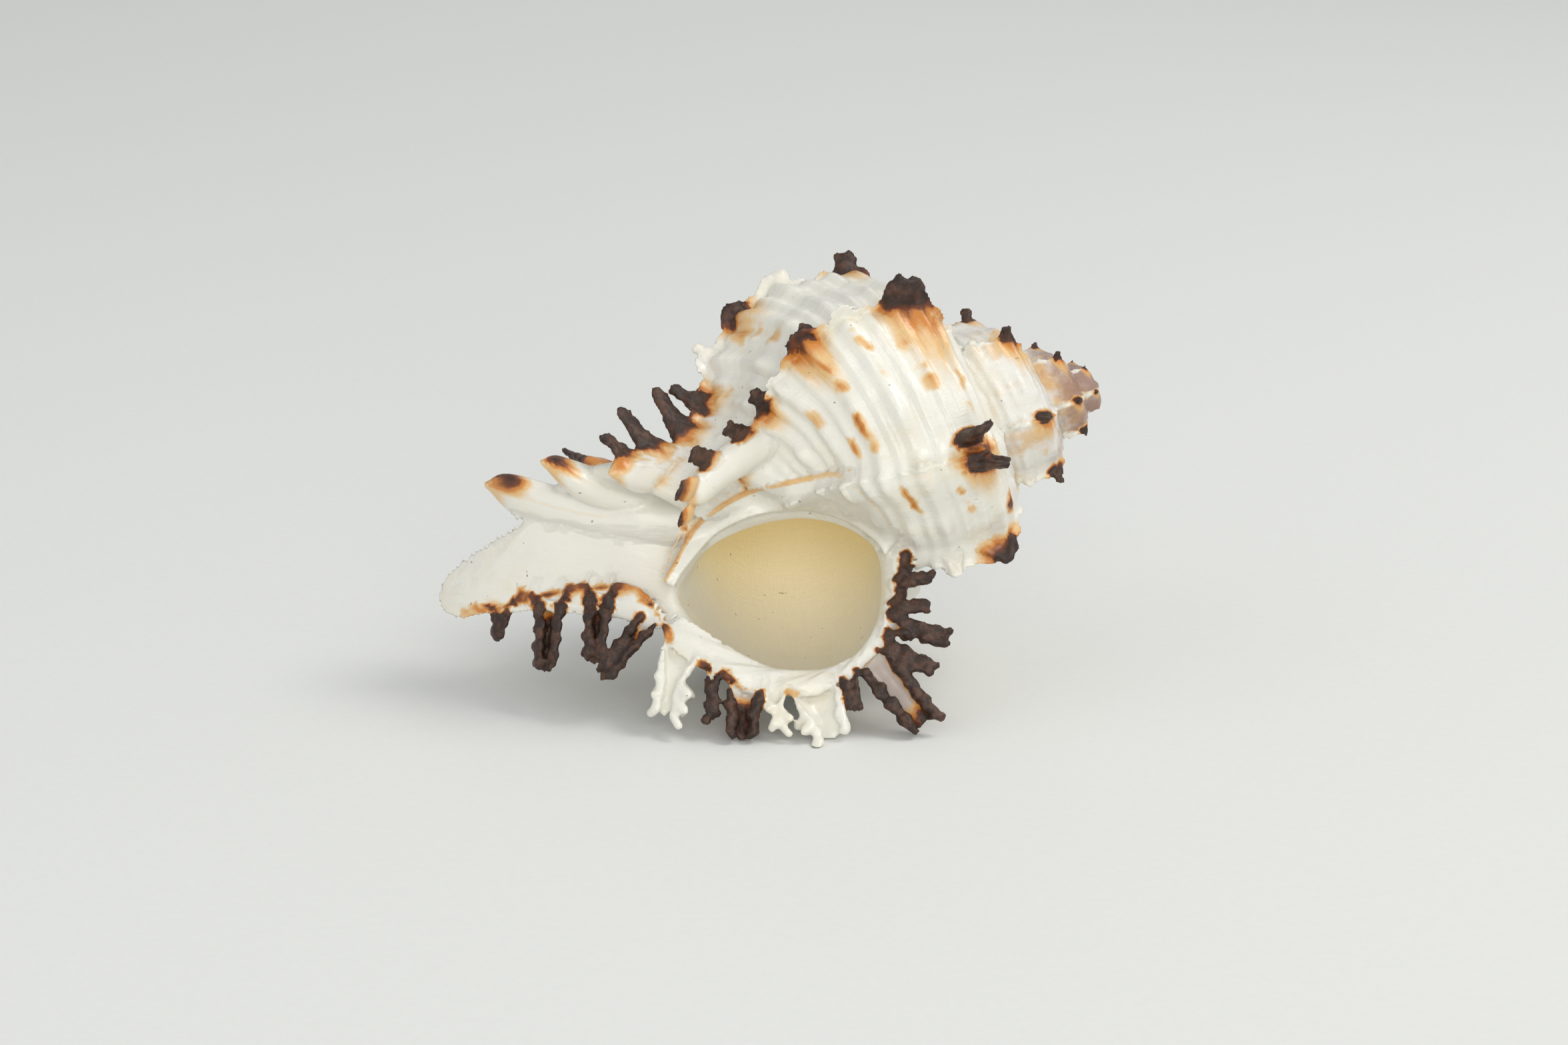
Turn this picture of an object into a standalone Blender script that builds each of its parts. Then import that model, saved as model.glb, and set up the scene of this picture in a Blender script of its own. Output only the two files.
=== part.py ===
"""A murex shell, resting on the fronds of its outer lip.

The shell is one closed solid. It is a logarithmic coil: a growth stage is an outline in a plane
that holds the coiling axis, and every earlier stage is the same outline, turned back around the
axis and shrunk towards the pole, the point just past the tip of the spire where the coil would
end. Lengths at a growth stage are in millimetres at the size of the present lip:
  along  from the pole along the coiling axis, towards the canal
  out    from the axis
  lean   out of the stage's plane, in the direction of growth
"""
import math

import bmesh
import bpy
import numpy as np

MM = 0.001

# The coil
WHORL_RATIO = 1.825          # growth in one whorl
WHORLS = 4.4                 # whorls kept, the eroded tip of the spire ends them
VARIX_STEP = 60.0            # degrees from one ridge with fronds to the next
CAVITY_DEPTH = 235.0         # degrees that the hollow runs back from the lip
VARIX_CREST = 4.0            # degrees from a ridge's crest to the edge it grew from
LIP_START = -46.0            # degrees at which the whorl starts to take the present lip's form
CANAL_EDGE = 3.0             # degrees of growth that the canal's end is thick
CANAL_GROWTH = 5.0           # degrees before that in which it grew out
OVERGROWN = (205.0, 228.0)   # degrees back from the lip at which later growth has covered the canal

# The pose, as the shell rests
POLE = (45.1 * MM, 3.63 * MM, 39.2 * MM)
AXIS_SLOPE = 12.8            # degrees that the axis falls from the spire to the canal
AXIS_YAW = 12.3              # degrees that the canal is turned towards -Y
LIP_LEAN = 37.4              # degrees from straight down to the lip's plane, towards -Y

# The canal bends back, out of the plane of growth
BEND_START = 62.0            # along
BEND_LENGTH = 30.0
BEND_DEPTH = 15.0

# The surface
RIDGE_RISE = 0.22            # part of the way to a ridge over which the shell swells up to it
RIDGE_FALL = 0.11            # part of the way after a ridge over which the shell draws in again
VARIX_HEIGHT = 1.9
CORD_HEIGHT = 0.8
CORD_WIDTH = 1.4
CORDS = (40.4, 46.0, 51.8, 57.4, 62.2, 66.6)
NECK_DEPTH = 1.3             # how far the whorl draws in behind the lip
NECK_TURN = -22.0            # degrees back from the lip at which it does so
NECK_LENGTH = 14.0           # degrees over which it does so
RIM_DEPTH = 3.4              # how far the rim rolls back into the mouth
RIM_RINGS = 7

# The fronds
FROND_ROOT = 2.2             # how deep a frond's root reaches into the wall
FROND_DEPTH = 0.5            # thickness of a frond against its width
CHANNEL_DEPTH = 0.6          # how much of that thickness the channel on its front takes
THINNEST = 0.7
LOBE_SPACING = 0.24          # part of a frond's length between one side lobe and the next
LOBE_REACH = 0.16            # length of a lobe against its frond's
LOBE_WIDTH = 0.38            # width of a lobe against its frond's tip
SOLE = -0.2 * MM             # height of the middle of a tip that the shell rests on

# The mesh
RING_POINTS = 110
HORN_SIDES = 12
HORN_STEPS = 9
LOBE_STEPS = 4
TURN_STEP = 5.0              # degrees between rings
HOLLOW_TAPER = 70.0          # degrees over which the hollow closes at its deep end
VOXEL = 0.5 * MM
TRIANGLES = 9400
SHELL_COLOR = (0.82, 0.78, 0.70)

# Outline of a stage as (along, out): between two ridges, on a ridge, and at the present lip
STAGE = (
    ((33.5, 6.0), (33.6, 9.5), (33.8, 9.2)), ((32.0, 11.0), (32.6, 13.4), (33.3, 12.8)),
    ((32.6, 17.0), (33.6, 17.5), (35.0, 16.2)), ((34.0, 22.5), (35.4, 23.5), (37.2, 20.2)),
    ((37.0, 26.6), (38.6, 28.6), (39.8, 24.0)), ((41.5, 28.6), (43.0, 31.2), (43.4, 27.0)),
    ((47.0, 29.0), (48.5, 31.6), (47.6, 28.8)), ((53.0, 28.5), (54.0, 31.0), (52.4, 29.0)),
    ((58.5, 26.8), (59.6, 28.4), (57.4, 27.2)), ((63.3, 22.8), (64.6, 24.0), (62.4, 23.2)),
    ((67.0, 18.0), (68.0, 18.6), (66.6, 17.8)), ((70.5, 13.6), (70.4, 13.4), (67.2, 12.6)),
    ((75.0, 10.0), (74.6, 9.2), (70.6, 8.4)), ((80.0, 7.2), (80.0, 6.4), (76.4, 6.2)),
    ((84.0, 5.0), (86.0, 4.6), (83.2, 4.4)), ((85.5, 1.5), (91.5, 2.0), (91.3, 1.8)),
    ((83.5, -2.0), (92.3, -2.7), (92.3, -2.7)), ((80.0, -4.0), (87.2, -5.0), (87.2, -5.0)),
    ((76.0, -3.6), (82.1, -6.9), (82.1, -6.9)), ((72.0, -1.5), (76.0, -3.6), (76.0, -3.6)),
    ((66.0, 0.5), (69.0, 0.2), (69.0, 0.2)), ((60.0, 1.0), (61.8, 3.6), (61.8, 3.6)),
    ((54.0, 0.5), (56.0, 2.0), (56.0, 2.0)), ((48.0, 0.2), (50.0, 0.4), (50.0, 0.6)),
    ((42.0, 0.8), (42.5, 0.8), (42.5, 1.2)), ((36.5, 3.0), (36.9, 4.9), (37.2, 4.9)))

# Rows of the table at the canal's end, which only the present lip has at full length
CANAL_END = slice(14, 19)

# What later growth has left of the canal's part of the outline on the oldest whorls
WORN_FROM = 12
WORN_CANAL = (
    (73.0, 10.0), (76.0, 8.4), (77.6, 6.4), (77.8, 4.4),
    (76.5, 2.6), (74.0, 1.6), (71.0, 1.2), (68.0, 1.0))

# Outline of the hollow behind the lip's rim: along and out
HOLLOW = (
    (37.2, 12.6), (38.2, 17.4), (41.2, 23.2), (45.4, 26.0), (51.4, 26.2), (56.2, 24.2),
    (60.2, 19.8), (62.4, 15.2), (63.4, 11.2), (62.3, 8.9), (58.3, 5.9), (52.7, 4.6),
    (46.5, 4.9), (41.7, 6.8), (38.6, 9.6))


class Frond:
    """One frond: a hollow horn with a channel on its front, from a wide root to a ragged tip."""

    def __init__(self, root, tip, root_width, tip_width, lobes=0):
        """Root and tip are (along, out, lean); the widths are across the frond."""
        self.root = np.array(root, float)
        self.tip = np.array(tip, float)
        self.root_width = root_width
        self.tip_width = tip_width
        self.lobes = lobes


# The lip's fronds, from the suture to the end of the canal
LIP_FRONDS = (
    Frond((37.0, 18.2, 0), (32.3, 18.6, 0.6), 2.4, 1.3, 2),
    Frond((38.6, 21.0, 0), (34.4, 22.6, 0.8), 1.8, 1.1, 1),
    Frond((39.4, 23.2, 0), (32.9, 27.2, 0.5), 2.8, 1.6, 3),
    Frond((41.0, 25.4, 0), (36.2, 30.5, 0.2), 2.2, 1.4, 2),
    Frond((42.8, 26.9, 0), (39.0, 37.0, -0.4), 4.4, 3.8, 3),
    Frond((46.0, 28.6, 0), (46.8, 32.9, 0.4), 2.6, 1.5, 1),
    Frond((51.0, 29.4, 0), (50.8, 36.4, 0.0), 5.4, 3.4, 3),
    Frond((56.0, 28.0, 0), (56.7, 32.0, 0), 3.0, 1.3, 2),
    Frond((59.4, 26.2, 0), (62.0, 33.0, 0.0), 4.2, 2.9, 2),
    Frond((62.4, 23.4, 0), (64.1, 28.8, 0), 1.7, 1.0, 1),
    Frond((65.0, 19.6, 0), (69.7, 25.9, 0), 5.6, 1.8, 4),
    Frond((68.2, 13.6, 0), (75.8, 18.7, 0.6), 3.0, 2.2, 0),
    Frond((72.8, 7.4, 0), (76.3, 16.2, 0.8), 3.4, 2.3, 0),
    Frond((79.0, 5.6, 0), (82.2, 14.5, 0.6), 4.2, 2.4, 0),
    Frond((85.2, 3.9, 0), (86.8, 7.5, 0.2), 3.2, 1.3, 0))

# A ridge's fronds where the shell shows its front, two thirds of a whorl back
FRONT_FRONDS = (
    Frond((41.0, 29.5, 0), (39.8, 38.6, -0.6), 12.5, 7.6, 5),
    Frond((51.5, 30.0, 0), (51.2, 33.0, 1.0), 4.0, 2.4, 0),
    Frond((59.2, 26.0, 0), (61.8, 32.6, 0.8), 7.8, 5.0, 3),
    Frond((68.4, 17.0, 0), (72.8, 22.2, 0.6), 5.0, 3.0, 2),
    Frond((75.2, 13.4, 0), (79.0, 18.6, 0.6), 4.4, 2.6, 2),
    Frond((83.6, 14.2, 0), (87.0, 19.4, 0.6), 4.4, 2.8, 2),
    Frond((89.6, 14.4, 0), (92.4, 18.2, 0), 5.4, 4.4, 0),
    Frond((90.8, 9.6, 0), (94.0, 11.2, 0), 3.6, 3.0, 0))

# A ridge halfway round the front, where the shell's later growth covers all but two rows
FACE_FRONDS = (
    Frond((41.4, 28.6, 2.0), (38.2, 36.4, 5.4), 7.0, 4.6, 3),
    Frond((42.2, 28.8, -2.0), (35.6, 36.0, -3.6), 9.0, 5.0, 4),
    Frond((52.4, 30.0, 0), (51.8, 33.2, 0), 5.0, 3.0, 1))

# The ridge one whorl back, on the right of the mouth: a worn hollow frond and a blunt point
SHOULDER_FRONDS = (
    Frond((42.0, 28.6, 0), (37.8, 34.0, 0.6), 10.0, 7.0, 3),
    Frond((52.2, 30.0, 0), (52.6, 36.0, 0), 7.0, 2.4, 1))

# The fronds of the ridges on the shell's back and underside; the last stands on the back alone
SIDE_FRONDS = (
    Frond((40.4, 30.0, 0), (38.9, 37.0, -1.0), 6.4, 3.6, 2),
    Frond((52.6, 31.0, 0), (51.2, 37.2, -0.5), 6.0, 3.2, 3),
    Frond((60.0, 28.4, 0), (61.2, 33.6, -0.5), 6.4, 3.2, 2),
    Frond((66.4, 22.0, 0), (69.8, 27.4, -0.3), 5.0, 2.0, 2),
    Frond((69.8, 14.8, 0), (76.4, 20.2, 0.3), 7.0, 2.3, 0),
    Frond((75.6, 9.8, 0), (79.2, 20.2, 0.4), 7.4, 2.5, 0),
    Frond((82.4, 7.4, 0), (86.6, 16.2, 0.4), 7.0, 2.6, 0),
    Frond((87.2, 6.0, 0), (91.6, 10.6, 0), 5.0, 2.3, 0))

# On the spire only the two rows above the suture are left
SPIRE_FRONDS = (
    Frond((40.6, 29.0, 0), (39.2, 38.2, 0), 9.0, 3.6, 1),
    Frond((52.0, 30.0, 0), (52.4, 35.6, 0), 7.0, 3.0, 1))

RIDGES = (
    (0.0, LIP_FRONDS), (-60.0, SIDE_FRONDS[:-1]), (-120.0, SIDE_FRONDS[:-1]), (-180.0, SIDE_FRONDS),
    (-240.0, FRONT_FRONDS), (-300.0, FACE_FRONDS), (-360.0, SHOULDER_FRONDS),
    *((-VARIX_STEP * count, SPIRE_FRONDS) for count in range(7, 24)))

# The earlier canals beside the present one, as (turn, path, half width along out, half width along lean)
OLD_CANALS = (
    (-60.0, ((64, 3.5, 0.5), (78, 1.4, 0.2), (91.6, -0.4, -1.0)), 4.4, 4.2),
    (-120.0, ((64, 4.5, 2.0), (78, 3.0, 3.0), (92.6, 1.0, 3.4)), 4.4, 4.3),
    (-180.0, ((64, 6.5, 0.5), (78, 5.4, 1.2), (92.6, 3.6, 1.4)), 4.6, 4.4),
    (-240.0, ((64, 10.5, 0.0), (78, 11.0, 0.0), (90.0, 11.2, 0.0)), 4.3, 4.3))
CANAL_SIDES = 20
CANAL_STEPS = 16
CANAL_TAPER = 0.22           # how much thinner an old canal is at its tip
CANAL_ROUND = 0.80           # part of its length at which its tip starts to round off


def pose():
    """Unit vectors of the coil: along its axis, and from the axis down and forward at the lip."""
    slope = math.radians(AXIS_SLOPE)
    yaw = math.radians(AXIS_YAW)
    axis = np.array([-math.cos(slope) * math.cos(yaw), -math.cos(slope) * math.sin(yaw), -math.sin(slope)])
    down = np.array([0.0, 0.0, -1.0])
    down -= axis * (down @ axis)
    down /= np.linalg.norm(down)
    front = np.cross(axis, down)
    return axis, down, front


AXIS, DOWN, FRONT = pose()


def place(turn, points):
    """World positions, in metres, of (along, out, lean) points at a turn in degrees."""
    points = np.atleast_2d(np.asarray(points, float))
    angle = np.radians(LIP_LEAN + np.asarray(turn, float)) * np.ones(len(points))
    scale = MM * WHORL_RATIO ** (np.asarray(turn, float) / 360.0) * np.ones(len(points))
    outward = np.outer(np.cos(angle), DOWN) + np.outer(np.sin(angle), FRONT)
    onward = np.outer(-np.sin(angle), DOWN) + np.outer(np.cos(angle), FRONT)
    along, out, lean = points.T
    bend = BEND_DEPTH * np.clip((along - BEND_START) / BEND_LENGTH, 0, None) ** 2
    local = along[:, None] * AXIS + out[:, None] * outward + (lean - bend)[:, None] * onward
    return np.array(POLE) + scale[:, None] * local


def closed_curve(points, count):
    """Points spread evenly along a smooth closed curve through the given points."""
    knots = np.array(points, float)
    spans = len(knots)
    steps = np.linspace(0, spans, 40 * spans, endpoint=False)
    span = np.floor(steps).astype(int)
    part = (steps - span)[:, None]
    before, start, end, after = (knots[(span + shift) % spans] for shift in (-1, 0, 1, 2))
    curve = 0.5 * (2 * start + (end - before) * part
                   + (2 * before - 5 * start + 4 * end - after) * part ** 2
                   + (3 * start - before - 3 * end + after) * part ** 3)
    curve = np.vstack([curve, curve[:1]])
    length = np.concatenate([[0], np.cumsum(np.linalg.norm(np.diff(curve, axis=0), axis=1))])
    wanted = np.linspace(0, length[-1], count, endpoint=False)
    return np.stack([np.interp(wanted, length, side) for side in curve.T], axis=1)


def smooth_step(value, low, high):
    """0 below low, 1 above high, and an even slope between."""
    part = np.clip((np.asarray(value, float) - low) / (high - low), 0, 1)
    return part * part * (3 - 2 * part)


def ridge(turn):
    """1 on a ridge's crest and 0 between two: a slow rise as the shell grew, then a quick fall."""
    past = ((turn + VARIX_CREST) / VARIX_STEP) % 1.0
    ahead = 1.0 - past
    return max(math.exp(-(ahead / RIDGE_RISE) ** 2), math.exp(-(past / RIDGE_FALL) ** 2))


def stage_table(turn):
    """The points that the outline of the growth stage at a turn goes through."""
    between, on_ridge, at_lip = np.array(STAGE).transpose(1, 0, 2)
    blend = np.full((len(between), 1), ridge(turn))
    blend[CANAL_END] = 0
    table = between + blend * (on_ridge - between)
    end = WORN_FROM + len(WORN_CANAL)
    table[WORN_FROM:end] += smooth_step(-turn, *OVERGROWN) * (np.array(WORN_CANAL) - table[WORN_FROM:end])
    blend[:] = smooth_step(turn, LIP_START, -VARIX_CREST)
    blend[CANAL_END] = math.exp(-(max(-turn - CANAL_EDGE, 0) / CANAL_GROWTH) ** 2)
    return table + blend * (at_lip - table)


def stage_outline(turn):
    """The outline of the growth stage at a turn, as (along, out) points with its cords."""
    weight = ridge(turn)
    outline = closed_curve(stage_table(turn), RING_POINTS)
    tangent = np.roll(outline, -1, axis=0) - np.roll(outline, 1, axis=0)
    tangent /= np.linalg.norm(tangent, axis=1)[:, None]
    normal = np.stack([-tangent[:, 1], tangent[:, 0]], axis=1)
    along, out = outline.T
    outside = smooth_step(out, 6, 14) * smooth_step(along, 32.2, 36.0)
    cords = sum(np.exp(-((along - cord) / CORD_WIDTH) ** 2) for cord in CORDS)
    lip_share = smooth_step(turn, LIP_START, -VARIX_CREST)
    neck = NECK_DEPTH * math.exp(-((turn - NECK_TURN) / NECK_LENGTH) ** 2)
    swelling = outside * ((1 - lip_share) * (VARIX_HEIGHT * weight + CORD_HEIGHT * cords) - neck)
    return outline + normal * swelling[:, None]


def with_lean(outline, lean):
    """An (along, out) outline with the same lean all round."""
    return np.column_stack([outline, np.full(len(outline), float(lean))])


def coil():
    """Rings of the coil: out along the whorls to the lip, round its rim and back in the hollow."""
    turns = [*np.arange(-360.0 * WHORLS, -CANAL_EDGE, TURN_STEP), -CANAL_EDGE]
    rings = [place(turn, with_lean(stage_outline(turn), 0)) for turn in turns]
    lip = stage_outline(0.0)
    hollow = closed_curve(HOLLOW, RING_POINTS)
    centre = hollow.mean(axis=0)
    bearing = np.arctan2(*(hollow - centre).T) - math.atan2(*(lip[0] - centre))
    hollow = np.roll(hollow, -int(np.argmin(np.abs(bearing))), axis=0)
    for bend in np.linspace(0, 0.5 * math.pi, RIM_RINGS):
        across = lip + math.sin(bend) * (hollow - lip)
        rings.append(place(0, with_lean(across, RIM_DEPTH * (math.cos(bend) - 1))))
    for turn in np.arange(TURN_STEP, CAVITY_DEPTH, TURN_STEP):
        width = 1 - 0.9 * smooth_step(turn, CAVITY_DEPTH - HOLLOW_TAPER, CAVITY_DEPTH)
        rings.append(place(-turn, with_lean(centre + (hollow - centre) * width, -RIM_DEPTH)))
    return rings


def old_canal(turn, points, half_out, half_lean):
    """Rings of an earlier canal: a thick lobe with a round end, along a curve of its stage."""
    path = bezier(np.array(points, float), CANAL_STEPS)
    heading = np.gradient(path, axis=0)
    across = np.cross(heading, (0.0, 0.0, 1.0))
    across /= np.linalg.norm(across, axis=1)[:, None]
    angles = np.linspace(0, 2 * math.pi, CANAL_SIDES, endpoint=False)
    rings = []
    for part, point, side in zip(np.linspace(0, 1, CANAL_STEPS), path, across):
        size = (1 - CANAL_TAPER * part) * math.sqrt(max(0.02, 1 - smooth_step(part, CANAL_ROUND, 1) ** 2))
        ring = point + size * half_out * np.outer(np.cos(angles), side)
        ring[:, 2] += size * half_lean * np.sin(angles)
        rings.append(place(turn, ring))
    return rings


def bezier(points, count):
    """A quadratic curve over three points."""
    start, middle, end = points
    part = np.linspace(0, 1, count)[:, None]
    return (1 - part) ** 2 * start + 2 * part * (1 - part) * middle + part ** 2 * end


def horn(turn, path, widths, groove):
    """Rings of a flattened horn along a path of (along, out, lean), its front towards growth."""
    heading = np.gradient(path, axis=0)
    heading /= np.linalg.norm(heading, axis=1)[:, None]
    front = np.array([0.0, 0.0, 1.0]) - heading * heading[:, 2:]
    front /= np.linalg.norm(front, axis=1)[:, None]
    across = np.cross(heading, front)
    angles = np.linspace(0, 2 * math.pi, HORN_SIDES, endpoint=False)
    side = np.cos(angles)
    depth = np.sin(angles) * np.where(np.sin(angles) > 0, 1 - groove * np.exp(-(side / 0.5) ** 2), 1)
    rings = []
    for point, width, x, y in zip(path, widths, across, front):
        thickness = max(FROND_DEPTH * width, THINNEST)
        ring = point + 0.5 * (width * np.outer(side, x) + thickness * np.outer(depth, y))
        rings.append(place(turn, ring))
    return rings


def settled_tip(turn, frond):
    """A frond's tip, drawn back to where the frond meets the surface that the shell rests on."""
    root_height, tip_height = (place(turn, point)[0][2] for point in (frond.root, frond.tip))
    if tip_height > SOLE:
        return frond.tip
    return frond.root + (frond.tip - frond.root) * (root_height - SOLE) / (root_height - tip_height)


def frond_rings(turn, frond, number):
    """The rings of a frond's horn, and of the small lobes along its sides."""
    tip = settled_tip(turn, frond)
    heading = tip - frond.root
    length = np.linalg.norm(heading)
    heading /= length
    path = bezier((frond.root - heading * FROND_ROOT, 0.5 * (frond.root + tip), tip), HORN_STEPS)
    part = np.linspace(0, 1, HORN_STEPS)
    widths = frond.tip_width + (frond.root_width - frond.tip_width) * (1 - smooth_step(part, 0.1, 0.75))
    widths[-1] *= 0.7
    bodies = [horn(turn, path, widths, CHANNEL_DEPTH)]
    across = np.cross(heading, (0.0, 0.0, 1.0))
    across /= np.linalg.norm(across)
    for lobe in range(frond.lobes):
        side = 1 if (lobe + number) % 2 else -1
        spot = int(round((0.98 - LOBE_SPACING * lobe) * (HORN_STEPS - 1)))
        reach = 0.5 * widths[spot] + length * LOBE_REACH * (1 + 0.3 * math.sin(3.1 * (lobe + number)))
        end = path[spot] + reach * (0.7 * heading + 0.8 * side * across)
        twig = bezier((path[spot], 0.5 * (path[spot] + end), end), LOBE_STEPS)
        bodies.append(horn(turn, twig, LOBE_WIDTH * frond.tip_width * np.array([1.2, 1.1, 1.0, 0.7]), 0))
    return bodies


def all_bodies():
    """The coil, the old canals and every frond, each a list of rings."""
    bodies = [coil()] + [old_canal(*canal) for canal in OLD_CANALS]
    for turn, fronds in RIDGES:
        for number, frond in enumerate(fronds):
            bodies += frond_rings(turn, frond, number)
    return bodies


def add_body(mesh, rings):
    """Skin a list of rings as a closed tube with a face at each end."""
    loops = [[mesh.verts.new(point) for point in ring] for ring in rings]
    for near, far in zip(loops, loops[1:]):
        for index, vert in enumerate(near):
            after = (index + 1) % len(near)
            mesh.faces.new((vert, near[after], far[after], far[index]))
    mesh.faces.new(loops[0][::-1])
    mesh.faces.new(loops[-1])


def clear_scene():
    """Remove every object of the scene."""
    for item in list(bpy.data.objects):
        bpy.data.objects.remove(item, do_unlink=True)


def shell_material():
    """Cream shell, glossy like glazed earthenware."""
    material = bpy.data.materials.new("shell")
    material.use_nodes = True
    surface = material.node_tree.nodes["Principled BSDF"]
    surface.inputs["Base Color"].default_value = (*SHELL_COLOR, 1.0)
    surface.inputs["Roughness"].default_value = 0.35
    surface.inputs["Metallic"].default_value = 0.0
    return material


def evaluated_mesh(item):
    """The mesh of an object with its modifiers."""
    graph = bpy.context.evaluated_depsgraph_get()
    return bpy.data.meshes.new_from_object(item.evaluated_get(graph))


def cut_feet(mesh):
    """Cut the lowest frond tips off flat where the shell rests, at z = 0."""
    shape = bmesh.new()
    shape.from_mesh(mesh)
    whole = list(shape.verts) + list(shape.edges) + list(shape.faces)
    bmesh.ops.bisect_plane(shape, geom=whole, dist=0.00001, plane_co=(0, 0, 0), plane_no=(0, 0, -1),
                           clear_outer=True)
    rim = [edge for edge in shape.edges if edge.is_boundary]
    bmesh.ops.holes_fill(shape, edges=rim, sides=0)
    bmesh.ops.triangulate(shape, faces=[face for face in shape.faces if len(face.verts) > 3])
    bmesh.ops.recalc_face_normals(shape, faces=shape.faces)
    shape.to_mesh(mesh)
    shape.free()


def build_shell():
    """One closed solid: the coil and its fronds grown together."""
    grown = bmesh.new()
    for rings in all_bodies():
        add_body(grown, rings)
    bmesh.ops.recalc_face_normals(grown, faces=grown.faces)
    mesh = bpy.data.meshes.new("shell")
    grown.to_mesh(mesh)
    grown.free()
    shell = bpy.data.objects.new("shell", mesh)
    bpy.context.scene.collection.objects.link(shell)
    joined = shell.modifiers.new("grow together", "REMESH")
    joined.mode = "VOXEL"
    joined.voxel_size = VOXEL
    smooth = evaluated_mesh(shell)
    fine = sum(len(face.vertices) - 2 for face in smooth.polygons)
    fewer = shell.modifiers.new("fewer faces", "DECIMATE")
    fewer.ratio = TRIANGLES / fine
    faceted = evaluated_mesh(shell)
    shell.modifiers.clear()
    cut_feet(faceted)
    shell.data = faceted
    faceted.materials.append(shell_material())
    return shell


def main():
    clear_scene()
    build_shell()


main()
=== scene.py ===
"""The murex shell's finished surface: whorls, fronds and canal as one mesh, with colours and studio."""
import logging
import math
from dataclasses import dataclass, field
from enum import Enum
from typing import Optional, Sequence, Union

import bpy
import numpy as np
from mathutils import Matrix, Vector, noise
from mathutils.bvhtree import BVHTree
from mathutils.kdtree import KDTree


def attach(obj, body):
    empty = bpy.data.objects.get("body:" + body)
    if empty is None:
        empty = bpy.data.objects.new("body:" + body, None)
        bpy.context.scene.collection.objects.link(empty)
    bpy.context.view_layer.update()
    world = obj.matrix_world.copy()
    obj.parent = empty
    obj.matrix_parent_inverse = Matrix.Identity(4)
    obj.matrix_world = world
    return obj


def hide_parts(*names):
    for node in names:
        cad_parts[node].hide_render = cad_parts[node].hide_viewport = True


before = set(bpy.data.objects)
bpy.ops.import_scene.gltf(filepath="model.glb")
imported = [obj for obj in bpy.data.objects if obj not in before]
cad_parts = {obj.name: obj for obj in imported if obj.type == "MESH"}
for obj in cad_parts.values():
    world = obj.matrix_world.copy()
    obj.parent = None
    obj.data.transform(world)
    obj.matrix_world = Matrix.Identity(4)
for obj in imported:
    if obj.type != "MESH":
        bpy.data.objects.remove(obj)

log = logging.getLogger("murex")

MM = 0.001

# Out of a stage's plane, in its own terms
LEAN = np.array([0.0, 0.0, 1.0])

Pair = tuple[float, float]
Triple = tuple[float, float, float]
TRAITS = ("tint", "groove", "within", "callus", "age", "turn", "girth")

# Steps from one knot to the next in which the length of a closed and of an open curve is measured
CLOSED_STEPS = 40
OPEN_STEPS = 30


class Pigment(Enum):
    """How dark a row of fronds is."""

    BROWN = 1.0
    WHITE = 0.0


class Build(Enum):
    """How a frond is built: a fresh trough at the lip, or a worn horn on an older ridge."""

    TROUGH = "trough"
    HORN = "horn"


def smooth_step(value: Union[float, np.ndarray], low: float, high: float) -> np.ndarray:
    """0 below low, 1 above high, and an even slope between."""
    part = np.clip((np.asarray(value, float) - low) / (high - low), 0, 1)
    return part * part * (3 - 2 * part)


def bell(value: Union[float, np.ndarray], width: Union[float, np.ndarray]) -> np.ndarray:
    """A bell of height 1 around 0."""
    return np.exp(-(np.asarray(value, float) / width) ** 2)


def waver(value: Union[float, np.ndarray], seed: float) -> np.ndarray:
    """A smooth, uneven wave between about -1 and 1 that repeats nowhere near by.

    Args:
        value: where on the wave, with about one swing for each unit.
        seed: any number; waves of different seeds don't match.

    Returns:
        The wave's height for each value.
    """
    value = np.asarray(value, float)
    swings = ((0.5, 2.17, 1.3), (0.3, 4.61, 2.9), (0.2, 8.93, 5.1))
    return sum(size * np.sin(rate * value + phase * (seed + 1.0)) for size, rate, phase in swings)


def unit(vectors: np.ndarray) -> np.ndarray:
    """The vectors, one a row, each at length 1."""
    return vectors / np.linalg.norm(vectors, axis=1)[:, None]


def run_length(curve: np.ndarray) -> np.ndarray:
    """How far along a curve each of its points lies."""
    return np.concatenate([[0], np.cumsum(np.linalg.norm(np.diff(curve, axis=0), axis=1))])


def spline(knots: Sequence[np.ndarray], part: np.ndarray) -> np.ndarray:
    """Points of a smooth curve through four knots, between the second and the third.

    Args:
        knots: the four knots in order, each with one row for each point.
        part: how far each point is on the way from the second knot to the third.

    Returns:
        The points, one a row.
    """
    before, start, end, after = knots
    return 0.5 * (2 * start + (end - before) * part
                  + (2 * before - 5 * start + 4 * end - after) * part ** 2
                  + (3 * start - before - 3 * end + after) * part ** 3)


def bowed(start: np.ndarray, middle: np.ndarray, end: np.ndarray, count: int) -> np.ndarray:
    """Points along a curve from start to end that leans towards a middle."""
    part = np.linspace(0, 1, count)[:, None]
    return (1 - part) ** 2 * start + 2 * part * (1 - part) * middle + part ** 2 * end


def evened(values: np.ndarray) -> np.ndarray:
    """Every row but the first and the last, drawn towards its two neighbours."""
    return 0.25 * (values[:-2] + values[2:]) + 0.5 * values[1:-1]


def ring_quads(index: np.ndarray) -> np.ndarray:
    """The quads between neighbouring rings of points, from the points' numbers as (ring, point)."""
    after = np.roll(index, -1, axis=1)
    return np.stack([index[:-1], after[:-1], after[1:], index[1:]], axis=-1).reshape(-1, 4)


def mesh_points(mesh: bpy.types.Mesh) -> np.ndarray:
    """Where a mesh's points lie, one a row."""
    points = np.empty(3 * len(mesh.vertices))
    mesh.vertices.foreach_get("co", points)
    return points.reshape(-1, 3)


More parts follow.
